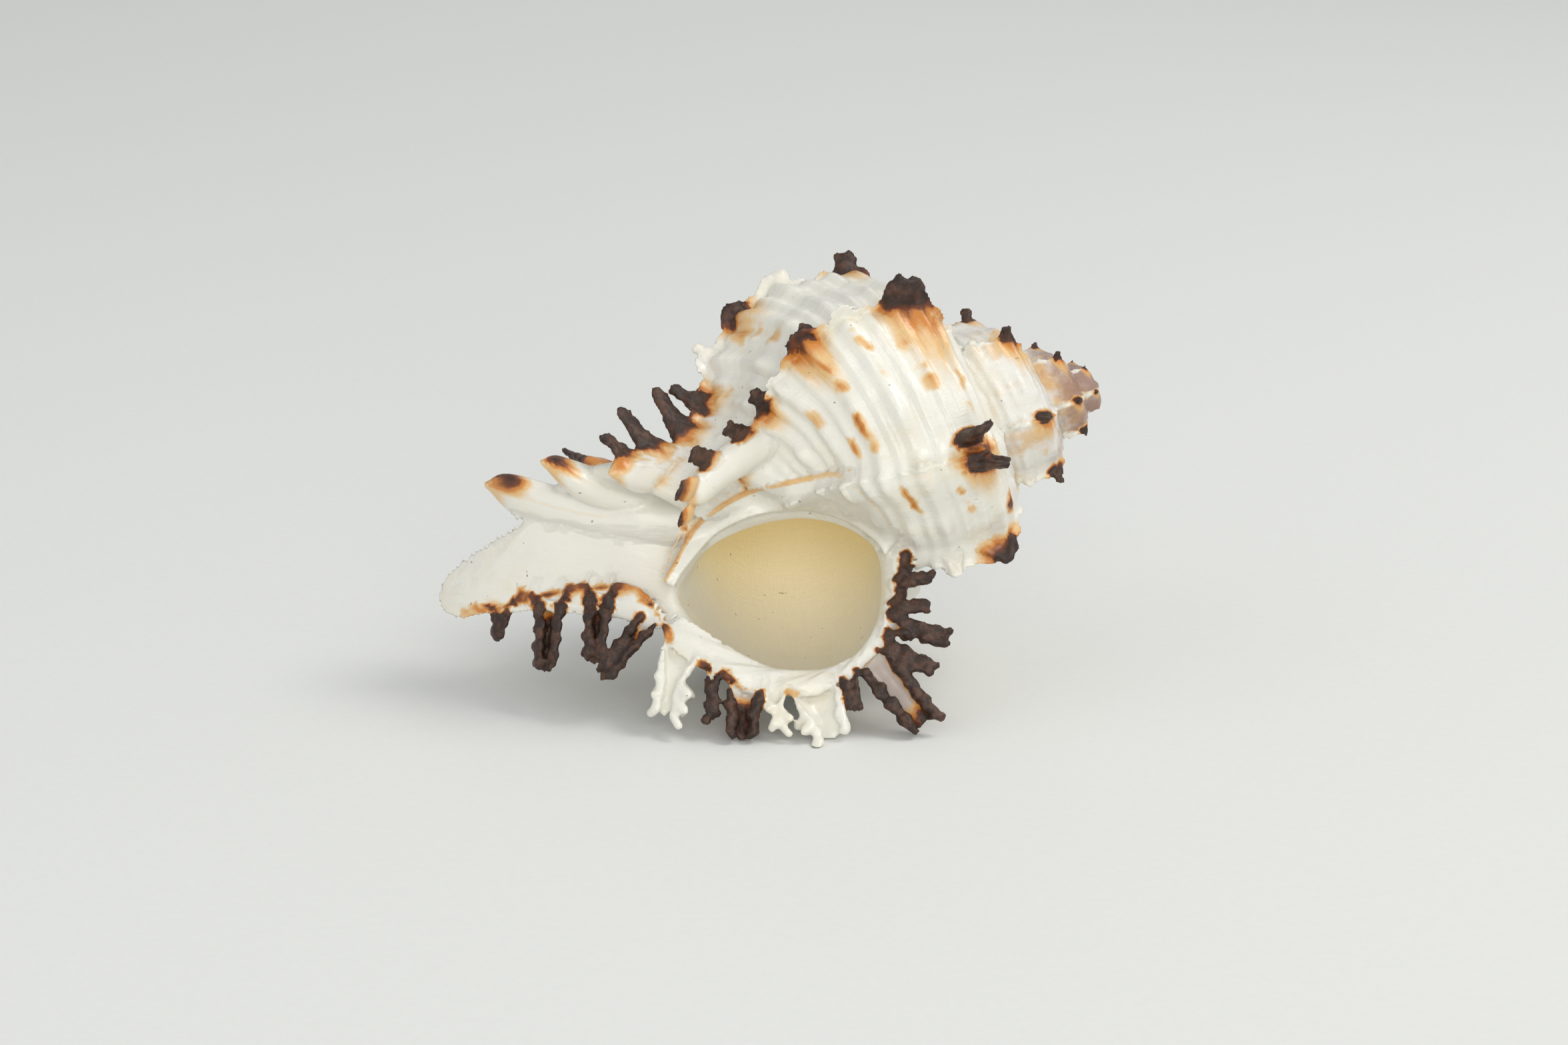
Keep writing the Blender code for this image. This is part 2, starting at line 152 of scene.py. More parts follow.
def move_points(mesh: bpy.types.Mesh, points: np.ndarray) -> None:
    """Put a mesh's points where told."""
    mesh.vertices.foreach_set("co", points.reshape(-1))
    mesh.update()


def new_object(name: str, data: bpy.types.ID) -> bpy.types.Object:
    """A new object in the scene that shows a mesh, a camera or a lamp."""
    item = bpy.data.objects.new(name, data)
    bpy.context.scene.collection.objects.link(item)
    return item


def spread_curve(points: Sequence[Pair], count: int) -> tuple[np.ndarray, np.ndarray]:
    """Points spread evenly along a smooth closed curve.

    Args:
        points: what the curve goes through.
        count: how many points to spread.

    Returns:
        The points, one a row, and for each the number of the given point that it is at, with fractions.
    """
    knots = np.array(points, float)
    spans = len(knots)
    steps = np.linspace(0, spans, CLOSED_STEPS * spans, endpoint=False)
    span = np.floor(steps).astype(int)
    curve = spline([knots[(span + shift) % spans] for shift in (-1, 0, 1, 2)], (steps - span)[:, None])
    curve = np.vstack([curve, curve[:1]])
    steps = np.append(steps, spans)
    length = run_length(curve)
    wanted = np.linspace(0, length[-1], count, endpoint=False)
    spread = np.stack([np.interp(wanted, length, side) for side in curve.T], axis=1)
    return spread, np.interp(wanted, length, steps)


def open_curve(points: Sequence[Sequence[float]], count: int) -> np.ndarray:
    """Points spread evenly along a smooth open curve.

    Args:
        points: what the curve goes through.
        count: how many points to spread.

    Returns:
        The points, one a row.
    """
    knots = np.array(points, float)
    knots = np.vstack([2 * knots[0] - knots[1], knots, 2 * knots[-1] - knots[-2]])
    steps = np.linspace(0, len(knots) - 3, OPEN_STEPS * len(knots))
    span = np.minimum(np.floor(steps).astype(int), len(knots) - 4)
    curve = spline([knots[span + shift] for shift in range(4)], (steps - span)[:, None])
    length = run_length(curve)
    wanted = np.linspace(0, length[-1], count)
    return np.stack([np.interp(wanted, length, side) for side in curve.T], axis=1)


def outward_normals(outline: np.ndarray) -> np.ndarray:
    """Unit normals of a closed outline.

    Args:
        outline: its points in order, one a row.

    Returns:
        A normal for each point, pointing away from the outline's inside.
    """
    tangent = unit(np.roll(outline, -1, axis=0) - np.roll(outline, 1, axis=0))
    return np.stack([-tangent[:, 1], tangent[:, 0]], axis=1)


@dataclass(frozen=True)
class Growth:
    """The logarithmic coil: where a point of a growth stage lies in the shell as it rests.

    A stage's points are (along, out, lean) in millimetres at the size of the present lip: along
    the coiling axis from the pole, out from the axis, and out of the stage's plane as it grows.
    """

    pole: Triple = (45.1 * MM, 3.63 * MM, 39.2 * MM)
    axis_slope: float = 12.8
    axis_yaw: float = 12.3
    lip_lean: float = 37.4
    whorl_ratio: float = 1.825
    bend_start: float = 62.0
    bend_length: float = 30.0
    bend_depth: float = 15.0
    face_rise: float = 16.0

    def directions(self) -> tuple[np.ndarray, np.ndarray, np.ndarray]:
        """The coil's own directions in the world.

        Returns:
            Unit vectors along the axis to the canal, down from it, and forward to the mouth's side.
        """
        slope = math.radians(self.axis_slope)
        yaw = math.radians(self.axis_yaw)
        level = math.cos(slope)
        axis = np.array([-level * math.cos(yaw), -level * math.sin(yaw), -math.sin(slope)])
        down = np.array([0.0, 0.0, -1.0])
        down -= axis * (down @ axis)
        down /= np.linalg.norm(down)
        return axis, down, np.cross(axis, down)

    def face(self) -> np.ndarray:
        """Unit vector out of the mouth, along which its inner lip is laid on the whorl behind."""
        rise = math.radians(self.face_rise)
        return np.array([0.0, -math.cos(rise), math.sin(rise)])

    def scale(self, turn: float) -> float:
        """Size of the stage at a turn in degrees, against the lip's."""
        return self.whorl_ratio ** (turn / 360.0)

    def place(self, turn: float, points: np.ndarray) -> np.ndarray:
        """World positions of a stage's points.

        Args:
            turn: the stage, in degrees; 0 is the lip, and earlier stages are negative.
            points: (along, out, lean), one a row.

        Returns:
            Positions in metres, one a row.
        """
        axis, down, front = self.directions()
        points = np.atleast_2d(np.asarray(points, float))
        angle = math.radians(self.lip_lean + turn)
        outward = math.cos(angle) * down + math.sin(angle) * front
        onward = math.cos(angle) * front - math.sin(angle) * down
        along, out, lean = points.T
        bend = self.bend_depth * np.clip((along - self.bend_start) / self.bend_length, 0, None) ** 2
        local = along[:, None] * axis + out[:, None] * outward + (lean - bend)[:, None] * onward
        return np.array(self.pole) + MM * self.scale(turn) * local


@dataclass
class Skin:
    """Closed pieces of surface that are still to grow together, with what each point is like."""

    points: list[np.ndarray] = field(default_factory=list)
    quads: list[np.ndarray] = field(default_factory=list)
    fans: list[tuple[int, ...]] = field(default_factory=list)
    traits: dict[str, list[np.ndarray]] = field(
        default_factory=lambda: {name: [] for name in TRAITS})
    count: int = 0

    def add_tube(self, rings: np.ndarray, folded: bool = False,
                 **traits: Union[float, np.ndarray]) -> None:
        """Add a closed tube through rings of points.

        Args:
            rings: positions in metres, as (ring, point, 3).
            folded: the rings are flat folds, so each end is closed between a ring's two halves.
            traits: what the points are like, each a number or an array that fits (ring, point).
        """
        ring_count, sides = rings.shape[:2]
        index = self.count + np.arange(ring_count * sides).reshape(ring_count, sides)
        self.quads.append(ring_quads(index))
        if folded:
            half = sides // 2
            for ring, step in ((index[0], 1), (index[-1], -1)):
                near, far = ring[:half], ring[:half - 1:-1]
                lid = np.stack([near[:-1], far[:-1], far[1:], near[1:]], axis=-1)
                self.quads.append(lid[:, ::step])
        else:
            self.fans += [tuple(index[0][::-1].tolist()), tuple(index[-1].tolist())]
        self.points.append(rings.reshape(-1, 3))
        for name in TRAITS:
            value = np.broadcast_to(np.asarray(traits.get(name, 0.0), float), (ring_count, sides))
            self.traits[name].append(value.reshape(-1))
        self.count += ring_count * sides

    def all_points(self) -> np.ndarray:
        """Every point of every tube, one a row."""
        return np.concatenate(self.points)

    def trait(self, name: str) -> np.ndarray:
        """One trait of every point."""
        return np.concatenate(self.traits[name])

    def mesh(self, name: str) -> bpy.types.Mesh:
        """The skin as a mesh whose tubes still run through each other.

        Args:
            name: the mesh's name.

        Returns:
            The mesh.
        """
        mesh = bpy.data.meshes.new(name)
        faces = np.concatenate(self.quads).tolist() + list(self.fans)
        mesh.from_pydata(self.all_points().tolist(), [], faces)
        mesh.update()
        return mesh


# Outline of a stage as (along, out): between two ridges, on a ridge, and at the present lip
STAGE = (
    ((33.5, 6.0), (33.6, 9.5), (33.8, 9.2)), ((32.0, 11.0), (32.6, 13.4), (33.3, 12.8)),
    ((32.6, 17.0), (33.6, 17.5), (35.0, 16.2)), ((34.0, 22.5), (35.4, 23.5), (37.2, 20.2)),
    ((37.0, 26.6), (38.6, 28.6), (39.8, 24.0)), ((41.5, 28.6), (43.0, 31.2), (43.4, 27.0)),
    ((47.0, 29.0), (48.5, 31.6), (47.6, 28.8)), ((53.0, 28.5), (54.0, 31.0), (52.4, 29.0)),
    ((58.5, 26.8), (59.6, 28.4), (57.4, 27.2)), ((63.3, 22.8), (64.6, 24.0), (62.4, 23.2)),
    ((67.0, 18.0), (68.0, 18.6), (66.6, 17.8)), ((70.5, 13.6), (70.4, 13.4), (67.2, 12.6)),
    ((75.0, 10.0), (74.6, 9.2), (70.6, 8.4)), ((80.0, 7.2), (80.0, 6.4), (76.4, 6.2)),
    ((84.0, 5.0), (86.0, 4.6), (83.2, 4.4)), ((85.5, 1.5), (91.5, 2.0), (91.3, 1.8)),
    ((83.5, -2.0), (92.3, -2.7), (92.3, -2.7)), ((80.0, -4.0), (87.2, -5.0), (87.2, -5.0)),
    ((76.0, -3.6), (82.1, -6.9), (82.1, -6.9)), ((72.0, -1.5), (76.0, -3.6), (76.0, -3.6)),
    ((66.0, 0.5), (69.0, 0.2), (69.0, 0.2)), ((60.0, 1.0), (61.8, 3.6), (61.8, 3.6)),
    ((54.0, 0.5), (56.0, 2.0), (56.0, 2.0)), ((48.0, 0.2), (50.0, 0.4), (50.0, 0.6)),
    ((42.0, 0.8), (42.5, 0.8), (42.5, 1.2)), ((36.5, 3.0), (36.9, 4.9), (37.2, 4.9)))

# Rows of the table at the canal's end, which only the present lip has at full length
CANAL_END = slice(14, 19)

# What later growth has left of the canal's part of the outline on the oldest whorls
WORN_FROM = 12
WORN_CANAL = (
    (73.0, 10.0), (76.0, 8.4), (77.6, 6.4), (77.8, 4.4),
    (76.5, 2.6), (74.0, 1.6), (71.0, 1.2), (68.0, 1.0))

# Outline of the hollow behind the lip's rim: along and out
HOLLOW = (
    (37.2, 12.6), (38.2, 17.4), (41.2, 23.2), (45.4, 26.0), (51.4, 26.2), (56.2, 24.2),
    (60.2, 19.8), (62.4, 15.2), (63.4, 11.2), (62.3, 8.9), (58.3, 5.9), (52.7, 4.6),
    (46.5, 4.9), (41.7, 6.8), (38.6, 9.6))

# The mouth's inner side as (along, out): the inner lip's free edge, then the hollow's
LIP_EDGE = (
    (64.9, 9.6), (62.7, 7.3), (59.5, 4.1), (56.0, 2.3), (51.7, 1.1), (47.3, 1.2), (42.9, 1.5),
    (40.0, 1.9), (37.8, 4.3), (36.0, 8.1), (34.4, 12.2))
THROAT_EDGE = (
    (64.0, 10.6), (62.0, 8.7), (57.3, 5.5), (53.2, 4.4), (49.4, 4.4), (44.7, 5.5), (41.6, 7.2),
    (39.6, 9.0), (38.2, 10.8), (37.2, 12.6), (36.9, 14.4))


@dataclass(frozen=True)
class Frond:
    """One frond of a ridge, from a wide root to a ragged tip, bowed sideways by its hook.

    A brown one is dark from dark_from on, as a share of its length, and carries two twigs a lobe.
    """

    root: Triple
    tip: Triple
    root_width: float
    tip_width: float
    lobes: int = 0
    pigment: Pigment = Pigment.BROWN
    hook: float = 0.0
    dark_from: float = 0.15

    def seed(self) -> float:
        """A number that sets this frond's crinkles apart from its neighbours'."""
        return 0.37 * self.root[0] + 1.91 * self.tip[1] + 0.73 * self.root_width


BROWN = Pigment.BROWN
WHITE = Pigment.WHITE

# The lip's fronds, from the suture to the end of the canal
LIP_FRONDS = (
    Frond((36.8, 18.4, 0), (32.6, 19.0, 0.6), 2.6, 1.8, 1, BROWN, 0.3),
    Frond((38.6, 21.0, 0), (34.2, 22.6, 0.8), 2.6, 1.7, 1, BROWN),
    Frond((39.4, 23.2, 0), (32.9, 27.2, 0.5), 3.4, 2.5, 3, BROWN),
    Frond((41.0, 25.4, 0), (36.0, 30.5, 0.2), 3.0, 2.2, 2, BROWN),
    Frond((42.8, 26.9, 0), (39.0, 36.8, -0.4), 6.2, 5.0, 3, BROWN, 0.0, 0.75),
    Frond((46.4, 28.6, 0), (46.9, 32.6, 0.4), 3.0, 2.0, 1, BROWN),
    Frond((51.0, 29.4, 0), (50.6, 36.2, 0.0), 6.8, 5.2, 6, WHITE),
    Frond((56.0, 28.0, 0), (56.7, 32.0, 0), 3.0, 1.7, 3, WHITE),
    Frond((59.4, 26.2, 0), (61.9, 32.8, 0.0), 5.4, 4.2, 3, BROWN),
    Frond((62.8, 23.2, 0), (64.3, 28.4, 0), 2.4, 1.6, 1, BROWN),
    Frond((65.6, 19.2, 0), (69.7, 25.7, 0), 6.2, 3.2, 7, WHITE, -0.6),
    Frond((68.2, 13.6, 0), (75.8, 18.5, 0.6), 3.8, 2.9, 0, BROWN),
    Frond((72.8, 7.4, 0), (76.3, 16.0, 0.8), 4.2, 3.2, 0, BROWN),
    Frond((79.0, 5.6, 0), (82.2, 14.3, 0.6), 5.0, 3.4, 0, BROWN),
    Frond((85.2, 3.9, 0), (86.8, 7.5, 0.2), 3.6, 1.9, 0, BROWN))

# A ridge's fronds where the shell shows its front, two thirds of a whorl back
FRONT_FRONDS = (
    Frond((41.0, 29.5, 0), (39.8, 38.6, -0.6), 12.5, 7.6, 5, BROWN, -1.2, 0.55),
    Frond((51.5, 30.0, 0), (51.2, 33.0, 1.0), 4.0, 2.4, 0, WHITE),
    Frond((59.2, 26.0, 0), (61.8, 32.6, 0.8), 7.8, 5.0, 3, BROWN, 1.0, 0.40),
    Frond((68.4, 17.0, 0), (72.8, 22.2, 0.6), 5.0, 3.0, 2, BROWN, 0.8, 0.30),
    Frond((75.2, 13.4, 0), (79.0, 18.6, 0.6), 4.4, 2.6, 2, BROWN, 0.8, 0.30),
    Frond((83.6, 14.2, 0), (87.0, 19.4, 0.6), 4.4, 2.8, 2, BROWN, 0.4, 0.25),
    Frond((89.8, 14.8, -1.0), (91.8, 17.0, -1.4), 4.2, 3.2, 0, BROWN, 0.0, 0.95),
    Frond((91.0, 9.6, -1.0), (92.8, 10.8, -1.4), 3.4, 2.6, 0, BROWN, 0.0, 0.95))

# A ridge halfway round the front, where the shell's later growth covers all but two rows
FACE_FRONDS = (
    Frond((41.4, 28.6, 2.0), (38.2, 36.4, 5.4), 7.0, 4.6, 3, BROWN, -0.6, 0.1),
    Frond((42.2, 28.8, -2.0), (35.6, 36.0, -3.6), 9.0, 5.0, 4, BROWN, -1.0, 0.2),
    Frond((52.4, 30.0, 0), (51.8, 33.2, 0), 5.0, 3.0, 1, WHITE))

# The ridge one whorl back, on the right of the mouth: a worn hollow frond and a blunt white point
SHOULDER_FRONDS = (
    Frond((42.0, 28.6, 0), (37.8, 34.0, 0.6), 10.0, 7.0, 3, BROWN, -1.4, 0.75),
    Frond((52.2, 30.0, 0), (52.6, 36.0, 0), 7.0, 2.4, 1, WHITE))

# The fronds of the ridges on the shell's back and underside; the last stands on the back alone
SIDE_FRONDS = (
    Frond((40.4, 30.0, 0), (38.9, 37.0, -1.0), 6.4, 3.6, 2, BROWN, -0.8),
    Frond((52.6, 31.0, 0), (51.2, 37.2, -0.5), 6.0, 3.2, 3, WHITE),
    Frond((60.0, 28.4, 0), (61.2, 33.6, -0.5), 6.4, 3.2, 2, BROWN),
    Frond((66.4, 22.0, 0), (69.8, 27.4, -0.3), 5.0, 2.0, 2, WHITE),
    Frond((69.8, 14.8, 0), (76.4, 20.2, 0.3), 7.0, 2.3, 0, BROWN, -1.4),
    Frond((75.6, 9.8, 0), (79.2, 20.2, 0.4), 7.4, 2.5, 0, BROWN, -1.6),
    Frond((82.4, 7.4, 0), (86.6, 16.2, 0.4), 7.0, 2.6, 0, BROWN, -1.4),
    Frond((87.2, 6.0, 0), (91.6, 10.6, 0), 5.0, 2.3, 0, BROWN, -0.6))

# On the spire only the two rows above the suture are left
SPIRE_FRONDS = (
    Frond((40.6, 29.0, 0), (39.2, 38.2, 0), 9.0, 3.6, 1, BROWN),
    Frond((52.0, 30.0, 0), (52.4, 35.6, 0), 7.0, 3.0, 1, WHITE))


@dataclass(frozen=True)
class Ridge:
    """One ridge across the whorl, where growth once stopped: its turn and its row of fronds."""

    turn: float
    fronds: tuple[Frond, ...]
    build: Build = Build.HORN
    frill: float = 1.0


@dataclass(frozen=True)
class Stain:
    """A brown trail or spot on the whorl, along one line of growth."""

    start: float
    end: float
    line: Pair
    width: float
    strength: float
    dashes: float = 0.0


# How far to each side of its middle a lip frond takes up the margin, against its root's width
FROND_SPAN = 0.36

# Trails below the front ridge's dark fronds, and single spots on the last whorl
STAINS = (
    Stain(-292, -246, (59.4, 28.0), 1.3, 0.42, 0.10),
    Stain(-275, -250, (45.0, 31.0), 2.4, 0.26, 0.16),
    Stain(-262, -247, (52.0, 31.0), 1.2, 0.24, 0.25),
    Stain(-285, -262, (40.0, 28.5), 1.4, 0.22, 0.20),
    Stain(-270, -262, (66.0, 22.0), 1.6, 0.22, 0.0),
    Stain(-290, -283, (63.0, 25.0), 1.0, 0.34, 0.0),
    Stain(-322, -308, (57.0, 30.0), 0.9, 0.40, 0.0),
    Stain(-330, -312, (47.0, 31.5), 1.2, 0.30, 0.2),
    Stain(-345, -332, (38.0, 27.0), 1.4, 0.62, 0.0),
    Stain(-215, -186, (62.0, 26.0), 2.4, 0.30, 0.12),
    Stain(-205, -186, (69.0, 16.0), 2.0, 0.32, 0.12))


@dataclass
class Stage:
    """One stage's outline: its points, their distances from the suture and their rows in the table."""

    points: np.ndarray
    girth: np.ndarray
    rows: np.ndarray

    def girth_of(self, row: float) -> float:
        """Distance from the suture at which a row lies on this stage."""
        return float(np.interp(row, self.rows, self.girth))

    def row_of(self, point: Pair) -> float:
        """The row that lies nearest to a point."""
        return float(self.rows[np.argmin(np.linalg.norm(self.points - np.array(point), axis=1))])


@dataclass(frozen=True)
class Cord:
    """How high a cord stands in millimetres: everywhere, more on a ridge, more on a node; its width."""

    height: float
    on_ridge: float
    on_node: float
    width: float

    def lift(self, off: np.ndarray, ridge: float, node: float, sway: float) -> np.ndarray:
        """How far the cord lifts points that lie off its middle."""
        height = self.height + self.on_ridge * ridge + self.on_node * node
        return height * sway * bell(off, self.width)


@dataclass
class Whorls:
    """The coiled wall: its outline at every stage, its cords, ridges, rim and hollow."""

    growth: Growth = field(default_factory=Growth)
    whorls: float = 4.4
    ridge_step: float = 60.0
    crest: float = 4.0
    ridge_rise: float = 0.22
    ridge_fall: float = 0.11
    ridge_height: float = 1.3
    ring_points: int = 400
    turn_step: float = 1.5
    hollow_depth: float = 235.0
    hollow_taper: float = 70.0
    rim_rings: int = 30
    rim_depth: float = 3.4
    neck: float = 1.3
    canal_edge: float = 3.0
    canal_growth: float = 5.0
    lip_forms: Pair = (-46.0, -4.0)
    canal_worn: Pair = (205.0, 228.0)
    main_cord: Cord = Cord(0.85, 1.15, 0.95, 1.65)
    fine_cord: Cord = Cord(0.62, 0.45, 0.35, 1.0)
    cord_start: float = 1.4
    node_middle: float = 0.45
    node_width: float = 0.16
    node_until: float = -70.0
    sway_size: float = 0.3
    sway_rate: float = 0.055
    stain_turns: Pair = (-12.0, 45.0)
    brown_stain: float = 0.50
    white_stain: float = 0.07
    fine_cords: tuple[int, ...] = (3, 2, 1, 1, 1, 1, 1, 0)
    outer_rows: Pair = (13.6, 15.0)
    slit_row: float = 14.0
    slit_width: float = 1.9
    # Turns into the hollow over which the inside's cream, its painted paler lower part and the painted glow
    # come in
    inside_turns: Pair = (8.0, 75.0)
    worn_tip: Pair = (2.5, 26.0)
    cords: list[tuple[float, bool]] = field(default_factory=list)
    frond_lines: list[tuple[Ridge, list[float]]] = field(default_factory=list)
    line_rows: dict[Stain, float] = field(default_factory=dict)

    def since_ridge(self, turn: float) -> float:
        """How far on a stage is from the last ridge's crest to the next one's, from 0 to 1."""
        return ((turn + self.crest) / self.ridge_step) % 1.0

    def ridge(self, turn: float) -> float:
        """1 on a ridge's crest and 0 between two: a slow rise, then a quick fall."""
        past = self.since_ridge(turn)
        rising, falling = (1 - past) / self.ridge_rise, past / self.ridge_fall
        return max(math.exp(-rising ** 2), math.exp(-falling ** 2))

    def lip_share(self, turn: float) -> float:
        """How much of the present lip's form a stage has: 1 at the lip, 0 from a ridge back."""
        return float(smooth_step(turn, *self.lip_forms))

    def bare_stage(self, turn: float) -> Stage:
        """A stage's outline without its cords.

        Args:
            turn: the stage, in degrees.

        Returns:
            The outline, which is blended from the table's three by the ridge and the lip.
        """
        weight = self.ridge(turn)
        share = self.lip_share(turn)
        between, on_ridge, at_lip = np.array(STAGE).transpose(1, 0, 2)
        blend = np.full((len(between), 1), weight)
        blend[CANAL_END] = 0
        table = between + blend * (on_ridge - between)
        worn = float(smooth_step(-turn, *self.canal_worn))
        end = WORN_FROM + len(WORN_CANAL)
        table[WORN_FROM:end] += worn * (np.array(WORN_CANAL) - table[WORN_FROM:end])
        blend[:] = share
        blend[CANAL_END] = bell(max(-turn - self.canal_edge, 0), self.canal_growth)
        table += blend * (at_lip - table)
        points, rows = spread_curve(table, self.ring_points)
        return Stage(points, run_length(points), rows)

    def frond_rows(self, turn: float, fronds: Sequence[Frond]) -> list[float]:
        """The rows at which fronds stand on the stage at a turn."""
        stage = self.bare_stage(turn)
        return [stage.row_of(frond.root[:2]) for frond in fronds]

    def cord_rows(self) -> list[tuple[float, bool]]:
        """Where the cords run: the main ones to the fronds' rows, and finer ones between them.

        Returns:
            Each cord's row, and whether it is a main one.
        """
        mains = self.frond_rows(-self.ridge_step - self.crest, SIDE_FRONDS)
        cords = [(row, True) for row in mains]
        for start, end, count in zip([self.cord_start] + mains, mains, self.fine_cords):
            for step in range(1, count + 1):
                cords.append((start + (end - start) * step / (count + 1), False))
        return cords

    def relief(self, turn: float, stage: Stage) -> np.ndarray:
        """How far the cords, nodes and growth scales lift each point of a stage.

        Args:
            turn: the stage, in degrees.
            stage: its bare outline.

        Returns:
            The lift of each point in millimetres.
        """
        weight = self.ridge(turn)
        node = float(bell(self.since_ridge(turn) - self.node_middle, self.node_width))
        node = node * (turn < self.node_until)
        lift = self.ridge_height * weight * np.ones(len(stage.points))
        for row, main in self.cords:
            off = stage.girth - stage.girth_of(row)
            sway = 1 + self.sway_size * float(waver(self.sway_rate * turn, row))
            lift += (self.main_cord if main else self.fine_cord).lift(off, weight, node, sway)
        scales = 0.24 * waver(0.21 * turn + 0.12 * stage.girth, 3.0) + 0.12 * waver(0.8 * turn, 8.0)
        return lift + scales * (0.5 + 0.5 * weight)

    def stage(self, turn: float) -> Stage:
        """A stage's outline with its ridge and cords.

        Args:
            turn: the stage, in degrees.

        Returns:
            The outline.
        """
        stage = self.bare_stage(turn)
        out, rows = stage.points[:, 1], stage.rows
        outside = smooth_step(out, 4, 10) * smooth_step(rows, 0.2, self.cord_start)
        outside = outside * (1 - smooth_step(rows, *self.outer_rows))
        share = self.lip_share(turn)
        neck = self.neck * float(bell(turn + 22, 14))
        lift = self.relief(turn, stage) * (1 - 0.93 * share) - neck
        stage.points = stage.points + outward_normals(stage.points) * (outside * lift)[:, None]
        return stage

    def stain(self, turn: float, stage: Stage) -> np.ndarray:
        """How brown each point of a stage is.

        Args:
            turn: the stage, in degrees.
            stage: its outline.

        Returns:
            0 for white up to about 0.6, below the ridges' dark fronds and on the trails.
        """
        tint = np.zeros(len(stage.points))
        for ridge, rows in self.frond_lines:
            before = ridge.turn - turn
            if not self.stain_turns[0] < before < self.stain_turns[1]:
                continue
            for frond, row in zip(ridge.fronds, rows):
                off = stage.girth - stage.girth_of(row)
                reach = 3.2 + 0.75 * frond.root_width
                fade = math.exp(-max(before - 2.0, 0) / reach) if before > 0 else math.exp(before / 2.5)
                side = bell(off, 0.40 * frond.root_width + 0.5)
                streak = 1 + 0.35 * waver(1.1 * off + 0.02 * turn, row)
                strength = self.brown_stain if frond.pigment is BROWN else self.white_stain
                tint = np.maximum(tint, strength * fade * side * streak)
        for mark in STAINS:
            if mark.start - 6 < turn < mark.end + 6:
                off = stage.girth - stage.girth_of(self.line_rows[mark])
                past, reach = turn - 0.5 * (mark.start + mark.end), 0.5 * (mark.end - mark.start)
                ends = float(bell(past, reach + 2) * (1 - smooth_step(abs(past), reach, reach + 6)))
                gap = float(smooth_step(waver(mark.dashes * turn, mark.width), -0.5, 0.5))
                gaps = 1 - 0.9 * gap * (mark.dashes > 0)
                off = off + 0.9 * float(waver(0.09 * turn, mark.width)) + 0.3 * waver(1.9 * off, turn)
                tint = np.maximum(tint, mark.strength * ends * gaps * bell(off, 0.75 * mark.width))
        return tint

    def prepare(self, ridges: Sequence[Ridge]) -> None:
        """Work out once where cords, frond rows and stains run.

        Args:
            ridges: every ridge of the shell.
        """
        self.cords = self.cord_rows()
        for ridge in ridges:
            crest = ridge.turn - self.crest * (ridge.turn < 0)
            self.frond_lines.append((ridge, self.frond_rows(crest, ridge.fronds)))
        ridge_stage = self.bare_stage(-self.ridge_step - self.crest)
        self.line_rows = {mark: ridge_stage.row_of(mark.line) for mark in STAINS}

    def scallops(self, lip: Stage) -> tuple[np.ndarray, np.ndarray]:
        """How the lip's margin follows its fronds.

        Args:
            lip: the last stage.

        Returns:
            How near each point is to the middle of a frond, and how far out the margin moves there.
        """
        near = np.max([bell(lip.girth - lip.girth_of(row), FROND_SPAN * frond.root_width)
                       for frond, row in zip(LIP_FRONDS, self.frond_lines[0][1])], axis=0)
        outer = smooth_step(lip.rows, 1.2, 2.0) * (1 - smooth_step(lip.rows, 14.5, 15.0))
        return near * outer, (1.1 * near - 0.55) * outer

    def hollow(self, lip: np.ndarray) -> np.ndarray:
        """The hollow's outline with its points opposite those of the lip.

        Args:
            lip: the lip's outline.

        Returns:
            The hollow's, with as many points.
        """
        hollow = spread_curve(HOLLOW, self.ring_points)[0]
        centre = hollow.mean(axis=0)
        bearing = np.arctan2(*(hollow - centre).T) - math.atan2(*(lip[0] - centre))
        return np.roll(hollow, -int(np.argmin(np.abs(bearing))), axis=0)

    def grow(self, skin: Skin) -> None:
        """Add the whole wall: out along the whorls to the lip, round its rim and back in the hollow.

        Args:
            skin: what the wall is added to.
        """
        rings, kept = [], {name: [] for name in TRAITS}

        def add(turn: float, outline: np.ndarray, lean: Union[float, np.ndarray],
                **traits: Union[float, np.ndarray]) -> None:
            """Keep one ring with its traits.

            Args:
                turn: its stage, in degrees.
                outline: its points as (along, out).
                lean: how far they lie out of the stage's plane.
                **traits: what the points are like.
            """
            ring = np.column_stack([outline, np.broadcast_to(lean, len(outline))])
            rings.append(self.growth.place(turn, ring))
            traits["turn"] = turn
            for name in TRAITS:
                value = np.asarray(traits.get(name, 0.0), float)
                kept[name].append(np.broadcast_to(value, len(outline)))

